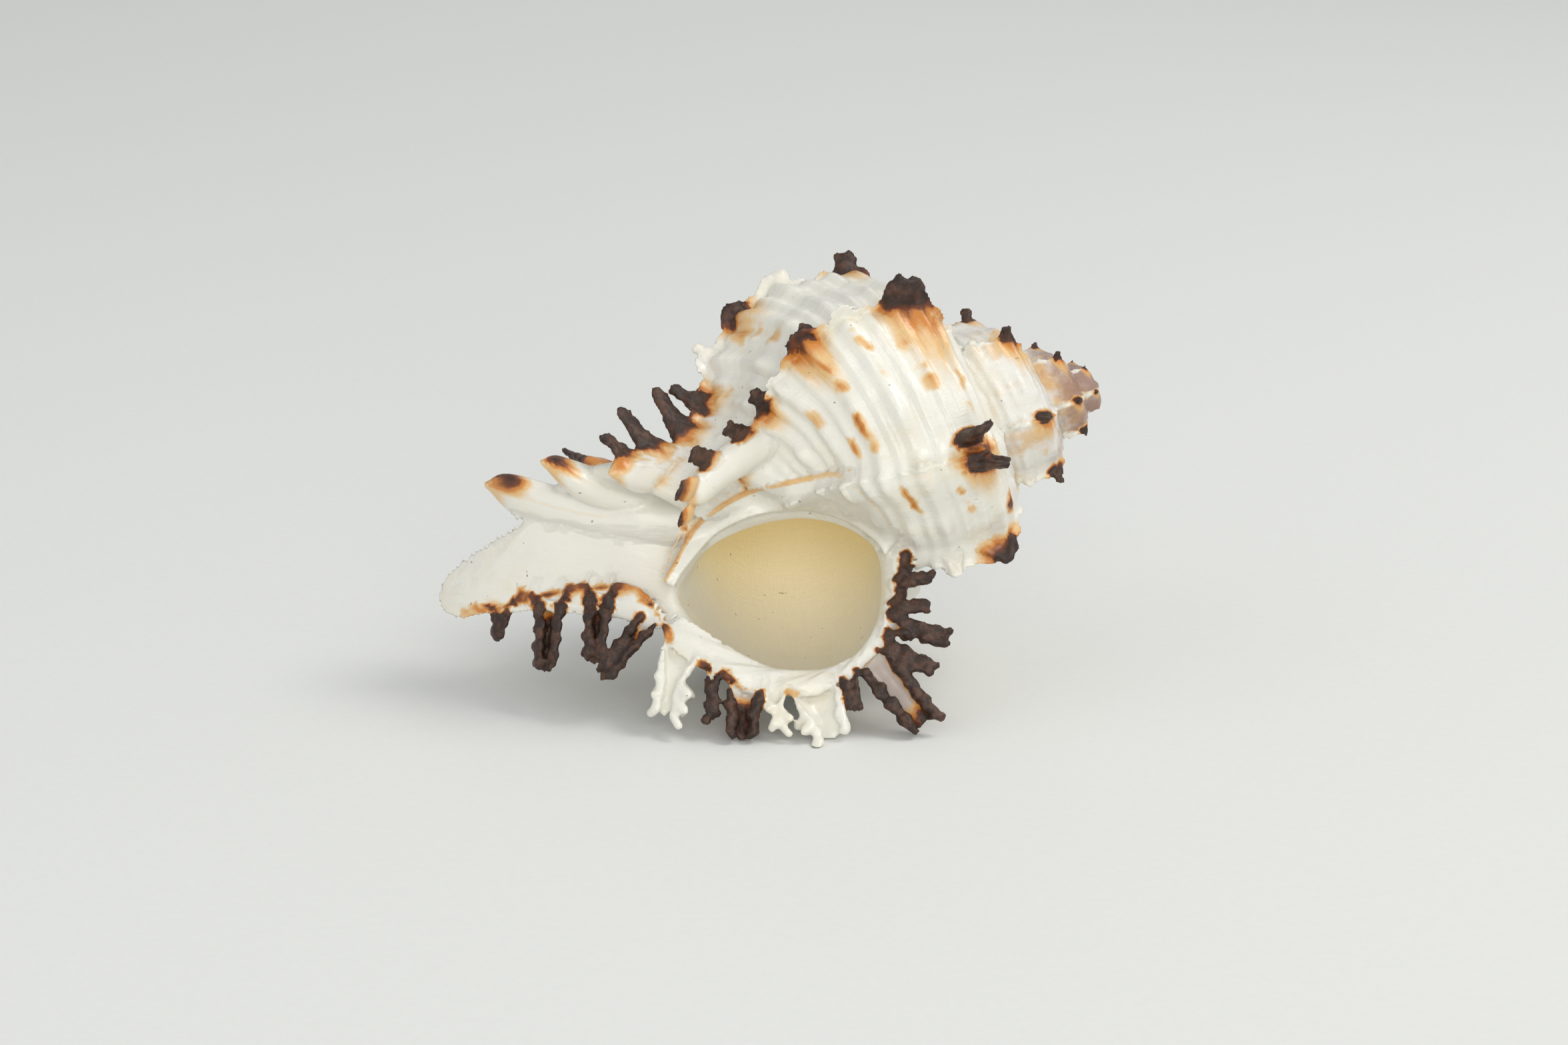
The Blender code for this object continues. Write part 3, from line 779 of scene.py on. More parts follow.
        for turn in np.arange(-360.0 * self.whorls, -1.0, self.turn_step):
            stage = self.stage(turn)
            from_tip = stage.points[:, 0] * self.growth.scale(turn)
            age = 1 - smooth_step(from_tip, *self.worn_tip)
            add(turn, stage.points, 0, girth=stage.girth, tint=self.stain(turn, stage), age=age)
        lip = self.stage(0.0)
        hollow = self.hollow(lip.points)
        near, shift = self.scallops(lip)
        margin = lip.points + outward_normals(lip.points) * shift[:, None]
        slit = bell(lip.rows - self.slit_row, self.slit_width)
        for part in np.linspace(0, 1, self.rim_rings):
            quarter = 0.5 * math.pi * part
            across = margin + math.sin(quarter) * (hollow - margin)
            lean = 0.35 * math.sin(math.pi * min(1.0, 3 * part))
            lean = lean - self.rim_depth * (1 - math.cos(quarter))
            lean = lean - 0.6 * near * (1 - part) ** 3 + 0.5 * slit * float(bell(part - 0.10, 0.045))
            add(0.0, across, lean, girth=lip.girth)
        centre = hollow.mean(axis=0)
        for turn in np.arange(self.turn_step, self.hollow_depth, self.turn_step):
            taper = float(smooth_step(turn, self.hollow_depth - self.hollow_taper, self.hollow_depth))
            # How far into the hollow: it brings in the inside's cream colour and the painted light there
            inside = float(smooth_step(turn, *self.inside_turns))
            outline = centre + (hollow - centre) * (1 - 0.9 * taper)
            add(-turn, outline, -self.rim_depth, girth=lip.girth, within=inside)
        skin.add_tube(np.stack(rings), **{name: np.stack(values) for name, values in kept.items()})


# A side twig's width from its foot to its tip, against its middle's
TWIG_WIDTHS = np.array([1.25, 1.15, 1.05, 1.0, 1.0, 0.95, 0.9])


@dataclass
class FrondBed:
    """Makes a ridge's fronds: fresh troughs at the lip, worn horns on the older ridges."""

    growth: Growth = field(default_factory=Growth)
    root_depth: float = 2.0
    shallow_depth: float = 0.8
    shallow_until: float = 44.0
    step: float = 0.30
    wall: float = 0.60
    roll: float = 0.62
    sole: float = 0.85 * MM
    hem: Pair = (0.70, 0.95)
    horn_twigs: float = 0.35
    tip_flare: float = 0.16
    rib_count: int = 9
    rib_height: float = 0.055
    fewest_rings: int = 14
    sheet_points: int = 18
    horn_points: int = 30
    twig_sides: int = 12

    def sunk(self, turn: float, frond: Frond) -> float:
        """How deep a frond's root goes into the wall, which is thin at the lip near the suture."""
        thin = turn == 0 and frond.root[0] < self.shallow_until
        return self.shallow_depth if thin else self.root_depth

    def settled(self, turn: float, start: np.ndarray, end: np.ndarray, clear: float) -> np.ndarray:
        """The end of a frond or twig, drawn back to stay clear of the surface that the shell rests on.

        Args:
            turn: its ridge.
            start: where it starts.
            end: where it would end.
            clear: height in metres that its end keeps.

        Returns:
            Where it ends.
        """
        start_height, end_height = (self.growth.place(turn, point)[0][2] for point in (start, end))
        if end_height > clear or start_height <= clear:
            return end
        return start + (end - start) * (start_height - clear) / (start_height - end_height)

    def path(self, turn: float, frond: Frond) -> np.ndarray:
        """Points up a frond's middle, from inside the wall to its tip.

        Args:
            turn: its ridge.
            frond: the frond.

        Returns:
            The points in the stage's terms, one a row.
        """
        root = np.array(frond.root)
        tip = self.settled(turn, root, np.array(frond.tip), self.sole)
        heading = (tip - root) / np.linalg.norm(tip - root)
        start = root - heading * self.sunk(turn, frond)
        length = np.linalg.norm(tip - start) * self.growth.scale(turn)
        count = max(self.fewest_rings, int(length / self.step))
        middle = 0.5 * (start + tip) - np.cross(heading, LEAN) * frond.hook
        return bowed(start, middle, tip, count)

    def frames(self, path: np.ndarray) -> tuple[np.ndarray, np.ndarray, np.ndarray]:
        """The directions of a path at each of its points.

        Args:
            path: points in a stage's terms.

        Returns:
            Its heading, its front and its side, each with one unit vector a row.
        """
        heading = unit(np.gradient(path, axis=0))
        front = unit(LEAN - heading * heading[:, 2:])
        return heading, front, np.cross(heading, front)

    def reach(self, path: np.ndarray, sunk: float) -> np.ndarray:
        """How far up a frond each point of its path is.

        Args:
            path: points from inside the wall to the tip.
            sunk: how much of it is inside.

        Returns:
            0 up to the root, then evenly up to 1 at the tip.
        """
        length = np.linalg.norm(path[-1] - path[0])
        part = np.linspace(0, 1, len(path))
        return np.clip((part * length - sunk) / max(1e-6, length - sunk), 0, 1)

    def trough(self, skin: Skin, turn: float, frond: Frond) -> None:
        """Add a fresh frond: a folded sheet between two thick, crinkled edges.

        Args:
            skin: what the frond is added to.
            turn: its ridge.
            frond: the frond.
        """
        path = self.path(turn, frond)
        heading, front, side = self.frames(path)
        reach = self.reach(path, self.sunk(turn, frond))
        seed = frond.seed()
        span = reach * np.linalg.norm(path[-1] - path[0])
        half = 0.5 * (frond.tip_width + (frond.root_width - frond.tip_width) * (1 - reach) ** 3)
        brown = frond.pigment.value
        roll = self.roll * (0.66 + 0.34 * brown) * (0.75 + 0.08 * frond.root_width)
        half = np.maximum(half - roll, 0.35) * (1 + 0.12 * waver(0.5 * span, seed + 2))
        depth = 0.45 + 0.45 * half
        across = np.linspace(-1, 1, self.sheet_points)
        rings = []
        for index, point in enumerate(path):
            dip = -depth[index] * (1 - across ** 2) - 0.06 * np.cos(8 * across + seed)
            ragged = 0.5 * float(smooth_step(reach[index], 0.8, 1)) * waver(1.6 * across, seed + 4)
            face = point + np.outer(across * half[index], side[index]) + np.outer(dip, front[index])
            face = face + np.outer(ragged, heading[index])
            ring = np.vstack([face - front[index] * self.wall, face[::-1]])
            rings.append(self.growth.place(turn, ring))
        around = np.concatenate([across, across[::-1]])
        hem = smooth_step(np.abs(around), *self.hem)
        streak = 1 + 0.5 * waver(2.4 * around, seed + 3)
        risen = smooth_step(reach, 0.0, 0.12)[:, None]
        filled = smooth_step(reach, frond.dark_from - 0.1, frond.dark_from + 0.3)[:, None]
        tint = brown * np.maximum(0.75 * filled * streak, 0.8 * risen * hem)
        tint[:, :self.sheet_points] = brown * 0.95 * risen
        groove = brown * risen * np.ones_like(tint)
        skin.add_tube(np.stack(rings), folded=True, tint=tint, groove=groove, turn=turn,
                      girth=frond.root[0])
        clear = max(0, int(np.count_nonzero(reach <= 0)) - 1)
        for hand in (-1, 1):
            sway = 0.18 * waver(1.3 * span, seed + hand)
            lift = 0.10 + 0.22 * waver(0.9 * span, seed)
            edge = path + side * (hand * half + sway)[:, None] + front * lift[:, None]
            swell = 1 + 0.34 * waver(1.05 * span + hand, seed + 7) + 0.22 * smooth_step(reach, 0.7, 1.0)
            widths = 2 * roll * swell * (0.60 + 0.40 * smooth_step(reach, 0.0, 0.35))
            widths = widths * (1 - 0.35 * reach ** 9)
            tint = brown * (0.62 + 0.4 * smooth_step(reach, 0.0, 0.2))[:, None]
            self.twig(skin, turn, edge[clear:], widths[clear:], seed + hand, tint[clear:])
        self.knobs(skin, turn, frond, path, half, 1.7 - 0.7 * brown)

    def horn(self, skin: Skin, turn: float, frond: Frond) -> None:
        """Add a worn frond: a curled tube with fine lengthwise ribs, wide where it leaves the ridge.

        Args:
            skin: what the frond is added to.
            turn: its ridge.
            frond: the frond.
        """
        path = self.path(turn, frond)
        heading, front, side = self.frames(path)
        reach = self.reach(path, self.sunk(turn, frond))
        seed = frond.seed() + 0.01 * turn
        taper = (1 - reach) ** 2.3
        flare = 1 + self.tip_flare * smooth_step(reach, 0.75, 1.0)
        width = (frond.tip_width + (frond.root_width - frond.tip_width) * taper) * flare
        thin = 1.0 + 0.32 * frond.tip_width
        thick = (thin + (0.62 * frond.root_width - thin) * taper).clip(thin)
        blunt = 0.97 - 0.04 * frond.tip_width
        round_tip = np.sqrt(np.clip(1 - smooth_step(reach, blunt, 1.04) ** 2, 0.25, 1))
        width, thick = width * round_tip, thick * np.sqrt(round_tip)
        angle = np.linspace(0, 2 * math.pi, self.horn_points, endpoint=False)
        groove = bell(angle - 0.5 * math.pi, 0.55)
        rings = []
        for index, point in enumerate(path):
            rib = 1 + self.rib_height * np.cos(self.rib_count * angle + seed)
            crumple = 0.26 * float(smooth_step(reach[index], 0.5, 1))
            radius = rib * (1 + crumple * waver(2.0 * angle + 5 * reach[index], seed))
            x = 0.5 * width[index] * np.cos(angle) * radius
            dent = 0.42 * thick[index] * groove * float(smooth_step(reach[index], 0.1, 0.5))
            y = 0.5 * thick[index] * np.sin(angle) * radius - dent
            ragged = 0.35 * float(smooth_step(reach[index], 0.6, 1)) * waver(1.9 * angle, seed + 4)
            ring = point + np.outer(x, side[index]) + np.outer(y, front[index])
            rings.append(self.growth.place(turn, ring + np.outer(ragged, heading[index])))
        border = reach[:, None] + 0.10 * waver(1.5 * angle, seed + 6)
        dark = smooth_step(border, frond.dark_from - 0.3, frond.dark_from + 0.2)
        risen = smooth_step(reach, 0.0, 0.35)[:, None]
        tint = frond.pigment.value * (0.12 + 0.22 * risen + 0.66 * dark) + 0.04
        skin.add_tube(np.stack(rings), tint=tint, turn=turn, girth=frond.root[0])
        self.knobs(skin, turn, frond, path, 0.5 * width, self.horn_twigs)

    def twig(self, skin: Skin, turn: float, path: np.ndarray, widths: np.ndarray, seed: float,
             tint: Union[float, np.ndarray]) -> None:
        """Add one knobbly tube with round ends.

        Args:
            skin: what it is added to.
            turn: its ridge.
            path: points up its middle.
            widths: its width at each point.
            seed: sets its knobs apart.
            tint: how brown it is.
        """
        _, front, side = self.frames(path)
        angle = np.linspace(0, 2 * math.pi, self.twig_sides, endpoint=False)
        ends = np.ones(len(path))
        ends[[0, -1]] = 0.45
        ends[[1, -2]] = 0.85
        rings = []
        for index, point in enumerate(path):
            ribs = 0.13 * np.cos(3 * angle + 0.12 * index + seed) + 0.09 * math.sin(0.8 * index + seed)
            radius = 0.5 * widths[index] * ends[index] * (1 + ribs)
            x, y = radius * np.cos(angle), radius * np.sin(angle)
            ring = point + np.outer(x, side[index]) + np.outer(y, front[index])
            rings.append(self.growth.place(turn, ring))
        skin.add_tube(np.stack(rings), tint=tint, turn=turn, girth=path[0][0])

    def knobs(self, skin: Skin, turn: float, frond: Frond, path: np.ndarray, half: np.ndarray,
              size: float = 1.0) -> None:
        """Add the short twigs at a frond's tip and down its two edges.

        Args:
            skin: what the twigs are added to.
            turn: its ridge.
            frond: the frond.
            path: points up the frond's middle.
            half: half the frond's width at each point.
            size: the twigs' length, against a fresh frond's.
        """
        heading, front, side = self.frames(path)
        length = np.linalg.norm(path[-1] - path[0])
        seed = frond.seed()
        for number in range(2 * frond.lobes):
            hand = 1 if number % 2 else -1
            share = 0.97 - 0.50 * (number // 2) / max(1, frond.lobes)
            share = share - 0.05 * hand * math.sin(seed + number)
            spot = min(len(path) - 1, max(0, int(share * (len(path) - 1))))
            start = path[spot] + hand * side[spot] * 0.75 * half[spot]
            tilt = 0.75 + 0.5 * math.sin(1.7 * number + seed)
            aim = heading[spot] * tilt + hand * side[spot] * 0.7
            aim = aim + front[spot] * 0.4 * math.sin(2.3 * number + seed)
            aim /= np.linalg.norm(aim)
            extent = size * ((0.10 + 0.05 * math.sin(3.1 * number + seed)) * length + 0.35)
            end = self.settled(turn, start, start + aim * extent, self.sole)
            bent = 0.5 * (start + end) + heading[spot] * 0.12 * extent
            line = bowed(start, bent, end, len(TWIG_WIDTHS))
            base = max(0.5 / self.growth.scale(turn), 0.9 + 0.10 * frond.tip_width)
            tint = frond.pigment.value * (0.65 + 0.35 * share)
            self.twig(skin, turn, line, base * TWIG_WIDTHS, seed + number, tint)

    def grow(self, skin: Skin, ridge: Ridge) -> None:
        """Add every frond of a ridge.

        Args:
            skin: what the fronds are added to.
            ridge: the ridge.
        """
        make = self.trough if ridge.build is Build.TROUGH else self.horn
        for frond in ridge.fronds:
            make(skin, ridge.turn, frond)


@dataclass
class Margin:
    """The lip's thickened, scalloped margin, and the thin standing frill of the older ridges."""

    whorls: Whorls
    growth: Growth = field(default_factory=Growth)
    roll: float = 0.42
    frill_height: float = 0.9
    web: float = 1.4
    thickness: float = 0.62
    sections: int = 5
    first_row: float = 1.3
    last_row: float = 13.2
    spire_last_row: float = 7.6
    spire_from: float = -350.0
    lip_rows: Pair = (1.2, 14.9)

    def nearness(self, stage: Stage, ridge: Ridge, rows: Sequence[float],
                 spread: float) -> tuple[np.ndarray, np.ndarray]:
        """How near each point of a stage is to a ridge's fronds.

        Args:
            stage: the stage.
            ridge: the ridge.
            rows: where its fronds stand.
            spread: how far past a frond's root it still counts.

        Returns:
            From 0 to 1, how near each point is to any frond, and to a brown one.
        """
        near, brown = np.zeros(len(stage.girth)), np.zeros(len(stage.girth))
        for frond, row in zip(ridge.fronds, rows):
            side = bell(stage.girth - stage.girth_of(row), 0.5 * frond.root_width + spread)
            near = np.maximum(near, side * min(1.0, 0.25 * frond.root_width))
            brown = np.maximum(brown, side * frond.pigment.value)
        return near, brown

    def lip_roll(self, skin: Skin, ridge: Ridge, rows: Sequence[float], bed: FrondBed) -> None:
        """Add the roll along the lip's margin, drawn in between the fronds as arches.

        Args:
            skin: what the roll is added to.
            ridge: the lip.
            rows: where its fronds stand.
            bed: makes the tube.
        """
        stage = self.whorls.stage(0.0)
        brown = self.nearness(stage, ridge, rows, 0.9)[1]
        near, shift = self.whorls.scallops(stage)
        kept = (stage.rows > self.lip_rows[0]) & (stage.rows < self.lip_rows[1])
        for frond, row in zip(ridge.fronds, rows):
            kept &= np.abs(stage.girth - stage.girth_of(row)) > FROND_SPAN * frond.root_width - 0.2
        path = np.column_stack([stage.points, 0.15 - 0.6 * near])
        normal = outward_normals(stage.points)
        path[:, :2] += normal * (shift + 0.12 * waver(0.55 * stage.girth, 2.0))[:, None]
        band = smooth_step(stage.rows, 1.3, 1.8) * (1 - smooth_step(stage.rows, 3.9, 4.4))
        path[:, :2] += normal * (band * (0.7 + 0.7 * waver(1.6 * stage.girth, 4.0)))[:, None]
        path[:, 2] += 0.5 * band * waver(1.3 * stage.girth, 6.0)
        widths = 2 * self.roll * (0.8 + 0.6 * brown + 0.6 * band + 0.3 * waver(0.9 * stage.girth, 1.0))
        tint = np.maximum(0.15 + 0.60 * brown, 0.85 * band)
        changes = np.flatnonzero(np.diff(np.concatenate([[0], kept.astype(int), [0]])))
        for start, end in changes.reshape(-1, 2):
            if end - start > 4:
                run = slice(start, end)
                bed.twig(skin, ridge.turn, path[run], widths[run], 1.0, tint[run, None])

    def frill(self, skin: Skin, ridge: Ridge, rows: Sequence[float]) -> None:
        """Add the frill of an older ridge.

        Args:
            skin: what the frill is added to.
            ridge: the ridge it stands on.
            rows: where its fronds stand.
        """
        stage = self.whorls.stage(ridge.turn - self.whorls.crest)
        last = self.last_row if ridge.turn > self.spire_from else self.spire_last_row
        kept = (stage.rows > self.first_row) & (stage.rows < last)
        near, brown = (side[kept] for side in self.nearness(stage, ridge, rows, 0.6))
        outline, girth, order = stage.points[kept], stage.girth[kept], stage.rows[kept]
        normal = outward_normals(stage.points)[kept]
        ends = smooth_step(order, self.first_row, 2.4) * (1 - smooth_step(order, last - 1.2, last))
        height = self.frill_height + self.web * near + 0.35 * waver(1.1 * girth, ridge.turn)
        height = ridge.frill * ends * height
        thick = max(self.thickness, 0.36 / self.growth.scale(ridge.turn))
        back, face, shares = [], [], np.linspace(0, 1, self.sections)
        for share in shares:
            lean = -0.5 - 0.3 * share + 0.3 * share * waver(0.8 * girth, ridge.turn + 5)
            points = outline + normal * (share * height - (1 - share) * 1.4)[:, None]
            slim = 0.5 * thick * (1 - 0.45 * share)
            back.append(np.column_stack([points, lean - slim]))
            face.append(np.column_stack([points, lean + slim]))
        loop = np.stack(back + face[::-1], axis=1)
        placed = self.growth.place(ridge.turn, loop.reshape(-1, 3)).reshape(loop.shape)
        rise = 0.18 + 0.5 * np.concatenate([shares, shares[::-1]])
        tint = rise[None, :] * (brown ** 1.5)[:, None]
        skin.add_tube(placed, tint=tint, turn=ridge.turn, girth=girth[:, None])


@dataclass(frozen=True)
class OldCanal:
    """What is left of an earlier ridge's canal: a thick round-ended lobe along a path of its stage."""

    turn: float
    path: tuple[Triple, ...]
    half_out: float
    half_lean: float
    tip_tint: float


OLD_CANALS = (
    OldCanal(-60, ((64, 3.5, 0.5), (78, 1.4, 0.2), (91.6, -0.4, -1.0)), 4.4, 4.2, 0.62),
    OldCanal(-120, ((64, 4.5, 2.0), (78, 3.0, 3.0), (92.6, 1.0, 3.4)), 4.4, 4.3, 0.58),
    OldCanal(-180, ((64, 6.5, 0.5), (78, 5.4, 1.2), (92.6, 3.6, 1.4)), 4.6, 4.4, 0.34),
    OldCanal(-240, ((64, 10.5, 0.0), (78, 11.0, 0.0), (90.0, 11.2, 0.0)), 4.3, 4.3, 0.05))


@dataclass
class CanalBundle:
    """The earlier canals that overlap like scales beside the present one."""

    growth: Growth = field(default_factory=Growth)
    sides: int = 48
    rings: int = 44
    round_from: float = 0.80
    taper: float = 0.22
    canals: tuple[OldCanal, ...] = OLD_CANALS

    def grow(self, skin: Skin) -> None:
        """Add every old canal's lobe.

        Args:
            skin: what the lobes are added to.
        """
        angle = np.linspace(0, 2 * math.pi, self.sides, endpoint=False)
        for canal in self.canals:
            path = open_curve(canal.path, self.rings)
            side = unit(np.cross(unit(np.gradient(path, axis=0)), LEAN))
            part = np.linspace(0, 1, self.rings)
            round_end = np.sqrt(np.clip(1 - smooth_step(part, self.round_from, 1.0) ** 2, 0.02, 1))
            size = (1 - self.taper * part) * round_end
            rings, tint = [], []
            for index, point in enumerate(path):
                swell = 1 + 0.05 * waver(5 * part[index] + 0.6 * np.sin(angle), canal.turn)
                x = canal.half_out * size[index] * np.cos(angle) * swell
                y = canal.half_lean * size[index] * np.sin(angle) * swell
                ring = point + np.outer(x, side[index])
                ring[:, 2] += y
                placed = self.growth.place(canal.turn, ring)
                rings.append(placed)
                height = placed[:, 2] - placed[:, 2].mean()
                upper = smooth_step(height / (np.abs(height).max() + 1e-9), 0.0, 0.9)
                off = part[index] - 0.90 + 0.02 * np.cos(3 * angle)
                band = canal.tip_tint * bell(off, 0.06) * upper
                shown = float(smooth_step(part[index], 0.25, 0.6))
                hem = 0.13 * bell(angle - 0.30 * math.pi, 0.05) * shown
                tint.append(band + hem + 0.14 * bell(part[index] - 0.97, 0.05))
            skin.add_tube(np.stack(rings), tint=np.stack(tint), turn=canal.turn, callus=0.5)


@dataclass
class InnerLip:
    """The glossy sheet that the shell laid on its earlier whorls beside the mouth, with its raised edge."""

    whorls: Whorls
    growth: Growth = field(default_factory=Growth)
    stations: int = 110
    sections: int = 16
    thickness: float = 0.45 * MM
    backing: float = 1.6 * MM
    edge: float = 0.23 * MM
    trail: float = 1.1 * MM
    curl: tuple[float, ...] = (0.5, 1.6, 3.2, 5.5)
    lifting_rounds: int = 30
    evening_rounds: int = 14
    bead_sides: int = 12
    oldest: float = -560.0
    newest: float = -110.0
    far: float = 0.08

    def ground(self) -> BVHTree:
        """The earlier whorls, as something to lay the sheet on.

        Returns:
            Their wall, which rays can meet.
        """
        rings = []
        for turn in np.arange(self.oldest, self.newest, 3.0):
            stage = self.whorls.stage(turn)
            points = stage.points[::3]
            rings.append(self.growth.place(turn, np.column_stack([points, np.zeros(len(points))])))
        rings = np.stack(rings)
        count, sides = rings.shape[:2]
        quads = ring_quads(np.arange(count * sides).reshape(count, sides))
        return BVHTree.FromPolygons(rings.reshape(-1, 3).tolist(), quads.tolist())

    def laid(self, flat: np.ndarray, ground: BVHTree) -> np.ndarray:
        """How far in front of the lip's plane the ground lies behind each point of the sheet.

        Args:
            flat: the sheet's points in the lip's plane.
            ground: the earlier whorls.

        Returns:
            The distances in metres, as many rows and columns as the sheet has.
        """
        face = self.growth.face()
        depth = np.zeros(flat.shape[:2])
        for place in np.ndindex(depth.shape):
            start = Vector(flat[place] + face * self.far)
            spot = ground.ray_cast(start, Vector(-face), self.far)[0]
            if spot is not None:
                depth[place] = self.far - (spot - start).length
        return depth

    def grow(self, skin: Skin) -> None:
        """Add the sheet, its raised edge and the dotted trail beside it.

        Args:
            skin: what they are added to.
        """
        face = self.growth.face()
        free, throat = open_curve(LIP_EDGE, self.stations), open_curve(THROAT_EDGE, self.stations)
        part = np.linspace(0, 1, self.sections)
        flat = free[:, None] + part[None, :, None] * (throat - free)[:, None]
        flat = np.concatenate([flat, np.zeros(flat.shape[:2] + (1,))], axis=2)
        placed = self.growth.place(0.0, flat.reshape(-1, 3)).reshape(flat.shape)
        depth = self.laid(placed, self.ground())
        for _ in range(self.lifting_rounds):
            depth[1:-1] = np.maximum(depth[1:-1], evened(depth))
        for _ in range(self.evening_rounds):
            depth[1:-1] = evened(depth)
            depth[:, 1:-1] = evened(depth.T).T
        ends = smooth_step(np.linspace(0, 1, self.stations), 0, 0.05)[:, None]
        swell = self.thickness * (0.35 + 0.65 * smooth_step(part, 0, 0.35))[None, :]
        front = placed + face * (depth + swell * ends)[:, :, None]
        curl = np.array(self.curl) * MM
        rolled = front[:, -1:] - face * curl[None, :, None]
        front = np.concatenate([front, rolled], axis=1)
        back = front - face * self.backing
        loop = np.concatenate([front, back[:, ::-1]], axis=1)
        across = np.concatenate([part, np.ones(len(curl))])
        along = np.linspace(0, 1, self.stations)[:, None]
        amber = 0.12 * bell(across, 0.07)[None, :] * (1 - 0.5 * smooth_step(along, 0.55, 0.8))
        # Where the lip curls into the mouth it takes the inside's cream colour and the painted light too
        inner = 0.8 * smooth_step(np.concatenate([np.zeros(self.sections), curl / MM]), 0.5, 4.0)
        traits = {"tint": amber, "within": np.broadcast_to(inner, amber.shape)}
        both = {name: np.concatenate([value, value[:, ::-1]], axis=1)[:, ::-1]
                for name, value in traits.items()}
        skin.add_tube(loop[:, ::-1], folded=True, callus=1.0, **both)
        edge = placed[:, 0] + face * depth[:, :1]
        along = along[:, 0]
        tint = 0.19 * (1 - 0.55 * smooth_step(along, 0.55, 0.8)) * (1 + 0.25 * waver(9 * along, 3.0))
        self.raised_edge(skin, edge, tint, 1.0)
        away = unit(placed[:, 0] - placed[:, -1])
        trail = edge + away * self.trail * (1 + 0.3 * waver(14 * along, 2.0))[:, None]
        dots = smooth_step(waver(34 * along, 5.0), 0.1, 0.5) * smooth_step(along, 0.12, 0.2)
        dots = 0.08 + 0.40 * dots * (1 - smooth_step(along, 0.72, 0.8))
        self.raised_edge(skin, trail, dots, 0.8)

    def raised_edge(self, skin: Skin, line: np.ndarray, tint: np.ndarray, size: float) -> None:
        """Add a bead along the sheet's free edge, highest where it leaves the canal.

        Args:
            skin: what the bead is added to.
            line: world positions along the edge.
            tint: how brown it is at each of them.
            size: its thickness, against the edge's own.
        """
        face = self.growth.face()
        heading = unit(np.gradient(line, axis=0))
        side = unit(np.cross(heading, face))
        up = np.cross(side, heading)
        angle = np.linspace(0, 2 * math.pi, self.bead_sides, endpoint=False)
        along = np.linspace(0, 1, len(line))
        rise = 1.0 + 1.5 * (1 - smooth_step(along, 0.30, 0.55)) * smooth_step(along, 0.0, 0.06)
        rise *= 1 - 0.5 * smooth_step(along, 0.75, 1.0)
        rings = []
        for index, point in enumerate(line):
            x = np.outer(np.cos(angle), side[index]) * 0.9
            y = np.outer(np.sin(angle) * rise[index] + 0.3 * rise[index], up[index])
            rings.append(point + size * self.edge * (x + y))
        skin.add_tube(np.stack(rings), tint=tint[:, None], callus=1.0)


